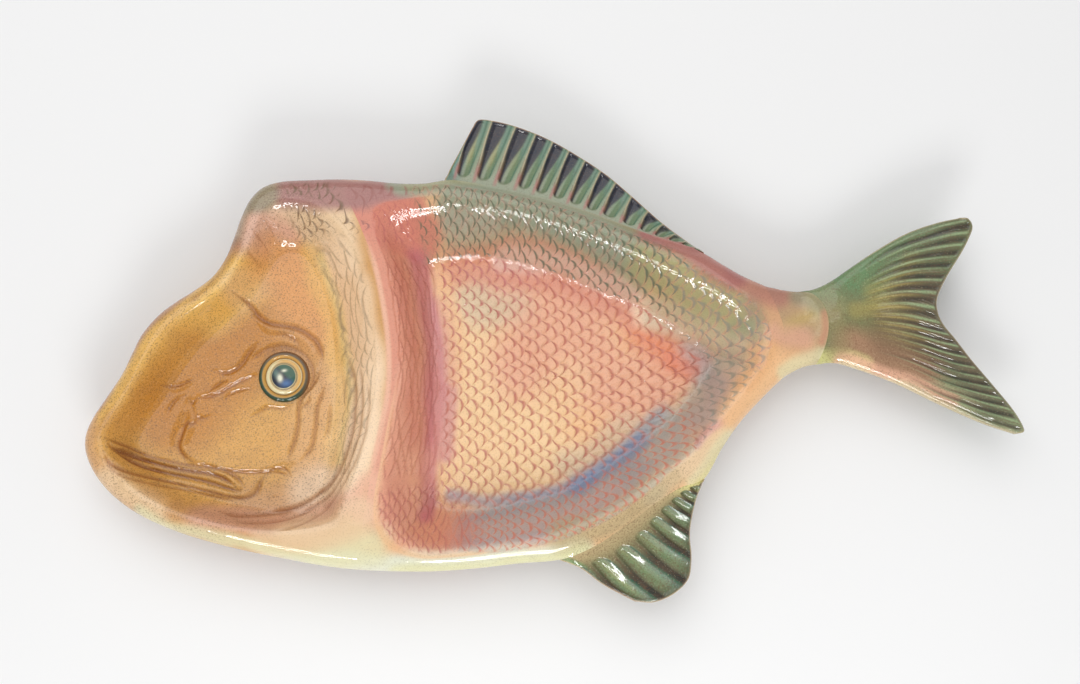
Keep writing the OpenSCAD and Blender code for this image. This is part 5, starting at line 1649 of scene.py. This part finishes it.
def ring_profile(inner, outer):
    angles = np.radians(np.linspace(180.0, 0.0, 25))
    top = [((inner + outer) / 2 + (outer - inner) / 2 * math.cos(a), EYE_RING_H * math.sin(a) ** 0.8)
           for a in angles]
    return [(inner, -EYE_SEAT)] + top + [(outer, -EYE_SEAT), (inner, -EYE_SEAT)]


def ring_color(r, angle):
    """Dark glaze, browner on its upper right, with a pale inner side."""
    side = smooth(0.5 + 0.8 * np.cos(angle - 0.9))
    return tint(coat(r, "pine") * 0.45,
                ("umber", 0.75 * side),
                ("honey", 0.8 * smooth((EYEBALL_D / 2 + 1.7 - r) / 0.7)),
                ("bark", 0.5 * smooth((r - EYE_D / 2 + 0.9) / 0.5) * side))


def ball_color(r, angle):
    """Pale iris with brown lines, and a dark pupil with green and blue places and painted highlights, in
    mm.
    """
    x, y = r * np.cos(angle), r * np.sin(angle)
    pupil = smooth((6.5 - r) / 0.5)
    # Two painted highlights on the pupil
    painted_glints = peak(x, -1.9, 1.3, y, -0.6, 1.9) + 0.8 * peak(x, 0.8, 1.3, y, 3.0, 0.7)
    return tint(coat(r, "cream"),
                ("honey", 0.85 * within(r, 7.3, 9.0, 0.5)),
                ("cream", 0.9 * smooth(0.5 - 0.9 * np.cos(angle - 0.3)) * within(r, 7.6, 9.9, 0.5)),
                ("umber", 0.85 * peak(r, 6.9, 0.35)),
                ("bark", 0.8 * smooth((r - 9.3) / 0.4)),
                ("ink_navy", pupil),
                ("pine", pupil * 0.8 * smooth((x + 0.7 * y) / 3.0)),
                ("cornflower", pupil * 0.9 * peak(x, 1.0, 3.2, y, -3.8, 1.9)),
                ("teal", pupil * 0.7 * peak(x, -3.6, 1.6, y, 2.2, 2.4)),
                # The ivory here is the painted highlights on the pupil
                ("ivory", pupil * np.clip(1.4 * painted_glints, 0.0, 1.0)))


def ball_profile():
    """A flattened dome with a raised pupil and a fine groove round it."""
    rows = [(0.0, EYEBALL_H)]
    for r in np.linspace(0.25, EYEBALL_D / 2, 40):
        dome = EYEBALL_H * math.sqrt(max(0.0, 1.0 - (r / (EYEBALL_D / 2)) ** 2))
        pupil = 0.5 * float(smooth((7.0 - r) / 0.7)) - 0.45 * float(peak(r, 7.2, 0.45))
        rows.append((r, 0.82 * dome + pupil))
    return rows + [(EYEBALL_D / 2, -EYE_SEAT), (0.0, -EYE_SEAT)]


turned("eye_ring_glazed", ring_profile(EYEBALL_D / 2 - 0.2, EYE_D / 2), ring_color, "eye_ring",
       "eye_ring_glaze")
turned("eyeball_glazed", ball_profile(), ball_color, "eyeball", "eyeball_glaze")


# Feet: bare clay rings with rounded edges
FOOT_ROUND = 1.6


def foot_line(floor_edge, hub, limit, inset):
    out = floor_edge - hub
    r = np.linalg.norm(out, axis=1)
    reach = ((r * FOOT_SHARE) ** -4 + limit ** -4) ** -0.25
    return hub + out / r[:, None] * (reach - inset)[:, None]


def foot(node, floor_edge, hub, limit_share, floor_z):
    skin = Skin(node + "_ring")
    height = floor_z - CLAY_T
    bends = [(FOOT_ROUND * (1.0 - math.cos(a)), FOOT_ROUND * (1.0 - math.sin(a)))
             for a in np.radians(np.linspace(0.0, 90.0, 7))]
    profile = [(0.0, height), *bends, *[(FOOT_W - inset, z) for inset, z in bends[::-1]], (FOOT_W, height)]
    rows = []
    for inset, z in profile:
        p = foot_line(floor_edge[::2], hub, PLATTER_L * limit_share, inset)
        rows.append(skin.add(np.column_stack([p, np.full(len(p), z)])))
    for before, row in zip(rows, rows[1:] + rows[:1]):
        skin.band(row, before)
    skin.finish()
    keep(make_mesh(skin.name, skin, own_normals(skin)), bisque(node + "_clay"), node, node + "_clay")


foot("head_foot", head_floor, head_hub, HEAD_FOOT_LIMIT_SHARE, HEAD_FLOOR_Z)
foot("trunk_foot", trunk_floor, trunk_hub, TRUNK_FOOT_LIMIT_SHARE, TRUNK_FLOOR_Z)


# Camera: over the platter, leaning a little from straight down, with the fish a few degrees off level
CAMERA_REACH = 720.0
CAMERA_ROLL = 8.5
CAMERA_TILT = 6.0
CAMERA_LENS = 46.2
TARGET = np.array([*PICTURE_MIDDLE, 28.0])


def frame_axes():
    roll, tilt = math.radians(CAMERA_ROLL), math.radians(CAMERA_TILT)
    right = np.array([math.cos(roll), -math.sin(roll), 0.0])
    up_page = np.array([math.sin(roll), math.cos(roll), 0.0])
    back = np.array([0.0, 0.0, 1.0]) * math.cos(tilt) - up_page * math.sin(tilt)
    return right, np.cross(back, right), back


right, up, back = frame_axes()
camera_data = bpy.data.cameras.new("camera")
camera_data.lens = CAMERA_LENS
camera_data.sensor_width = 36.0
camera_data.clip_start = 0.01
camera = add_object("camera", camera_data)
spot = (TARGET + back * CAMERA_REACH) * MM
camera.matrix_world = Matrix(((right[0], up[0], back[0], spot[0]), (right[1], up[1], back[1], spot[1]),
                              (right[2], up[2], back[2], spot[2]), (0.0, 0.0, 0.0, 1.0)))
bpy.context.scene.camera = camera


def area_lamp(name, spot, aim, width, height, power):
    lamp = bpy.data.lights.new(name, "AREA")
    lamp.shape = "RECTANGLE"
    lamp.size = width * MM
    lamp.size_y = height * MM
    lamp.energy = power
    holder = add_object(name, lamp)
    holder.location = Vector(spot) * MM
    way = Vector(aim) - Vector(spot)
    holder.rotation_euler = way.to_track_quat("-Z", "Y").to_euler()
    return holder


def from_picture(across, up_page, height):
    """A place given by how far right and up it lies in the picture, and its height."""
    roll = math.radians(CAMERA_ROLL)
    return (across * math.cos(roll) + up_page * math.sin(roll),
            -across * math.sin(roll) + up_page * math.cos(roll), height)


# Light: a wide soft lamp above the back of the fish, a weak window below the belly, and a ring of
# bright strips that shows in the glaze only
area_lamp("overhead", from_picture(-250.0, 700.0, 1350.0), (0.0, 0.0, 0.0), 1600.0, 1600.0, 10.0)
window = area_lamp("window", from_picture(60.0, -900.0, 640.0), (0.0, 0.0, 20.0), 500.0, 300.0, 4.0)
window.visible_glossy = False


def ring(middle, radius, power):
    """A ring of bright strips that faces the platter and lights nothing but its glaze."""
    turn = (-Vector(middle)).to_track_quat("-Z", "Y")
    for k in range(12):
        spot_turn = turn @ Quaternion((0.0, 0.0, 1.0), math.radians(30.0 * k))
        strip = area_lamp("ring", Vector(middle) + spot_turn @ Vector((0.0, radius, 0.0)), (0.0, 0.0, 20.0),
                          radius * 0.55, radius * 0.32, power)
        strip.rotation_euler = spot_turn.to_euler()
        strip.visible_diffuse = False


ring(from_picture(60.0, -890.0, 620.0), 170.0, 0.55)
ring(from_picture(60.0, -890.0, 620.0), 70.0, 0.08)
ring(from_picture(-400.0, -713.0, 700.0), 110.0, 0.25)

world = bpy.data.worlds.new("room")
bpy.context.scene.world = world
world.use_nodes = True
nodes, links = world.node_tree.nodes, world.node_tree.links
room = nodes["Background"]
room.inputs["Color"].default_value = (0.56, 0.56, 0.56, 1.0)
room.inputs["Strength"].default_value = 1.0
white = nodes.new("ShaderNodeBackground")
white.inputs["Color"].default_value = (1.0, 1.0, 1.0, 1.0)
path = nodes.new("ShaderNodeLightPath")
mix = nodes.new("ShaderNodeMixShader")
links.new(path.outputs["Is Camera Ray"], mix.inputs["Fac"])
links.new(room.outputs["Background"], mix.inputs[1])
links.new(white.outputs["Background"], mix.inputs[2])
links.new(mix.outputs["Shader"], nodes["World Output"].inputs["Surface"])

# Table
table_mesh = bpy.data.meshes.new("table")
reach = 6.0
table_mesh.from_pydata([(-reach, -reach, 0), (reach, -reach, 0), (reach, reach, 0), (-reach, reach, 0)], [],
                       [(0, 1, 2, 3)])
table = add_object("table", table_mesh)
table_paint = bpy.data.materials.new("table_paint")
table_paint.use_nodes = True
paint = table_paint.node_tree.nodes["Principled BSDF"]
paint.inputs["Base Color"].default_value = (0.9, 0.9, 0.9, 1.0)
paint.inputs["Roughness"].default_value = 0.7
table_mesh.materials.append(table_paint)

bpy.context.scene.view_settings.view_transform = "Standard"
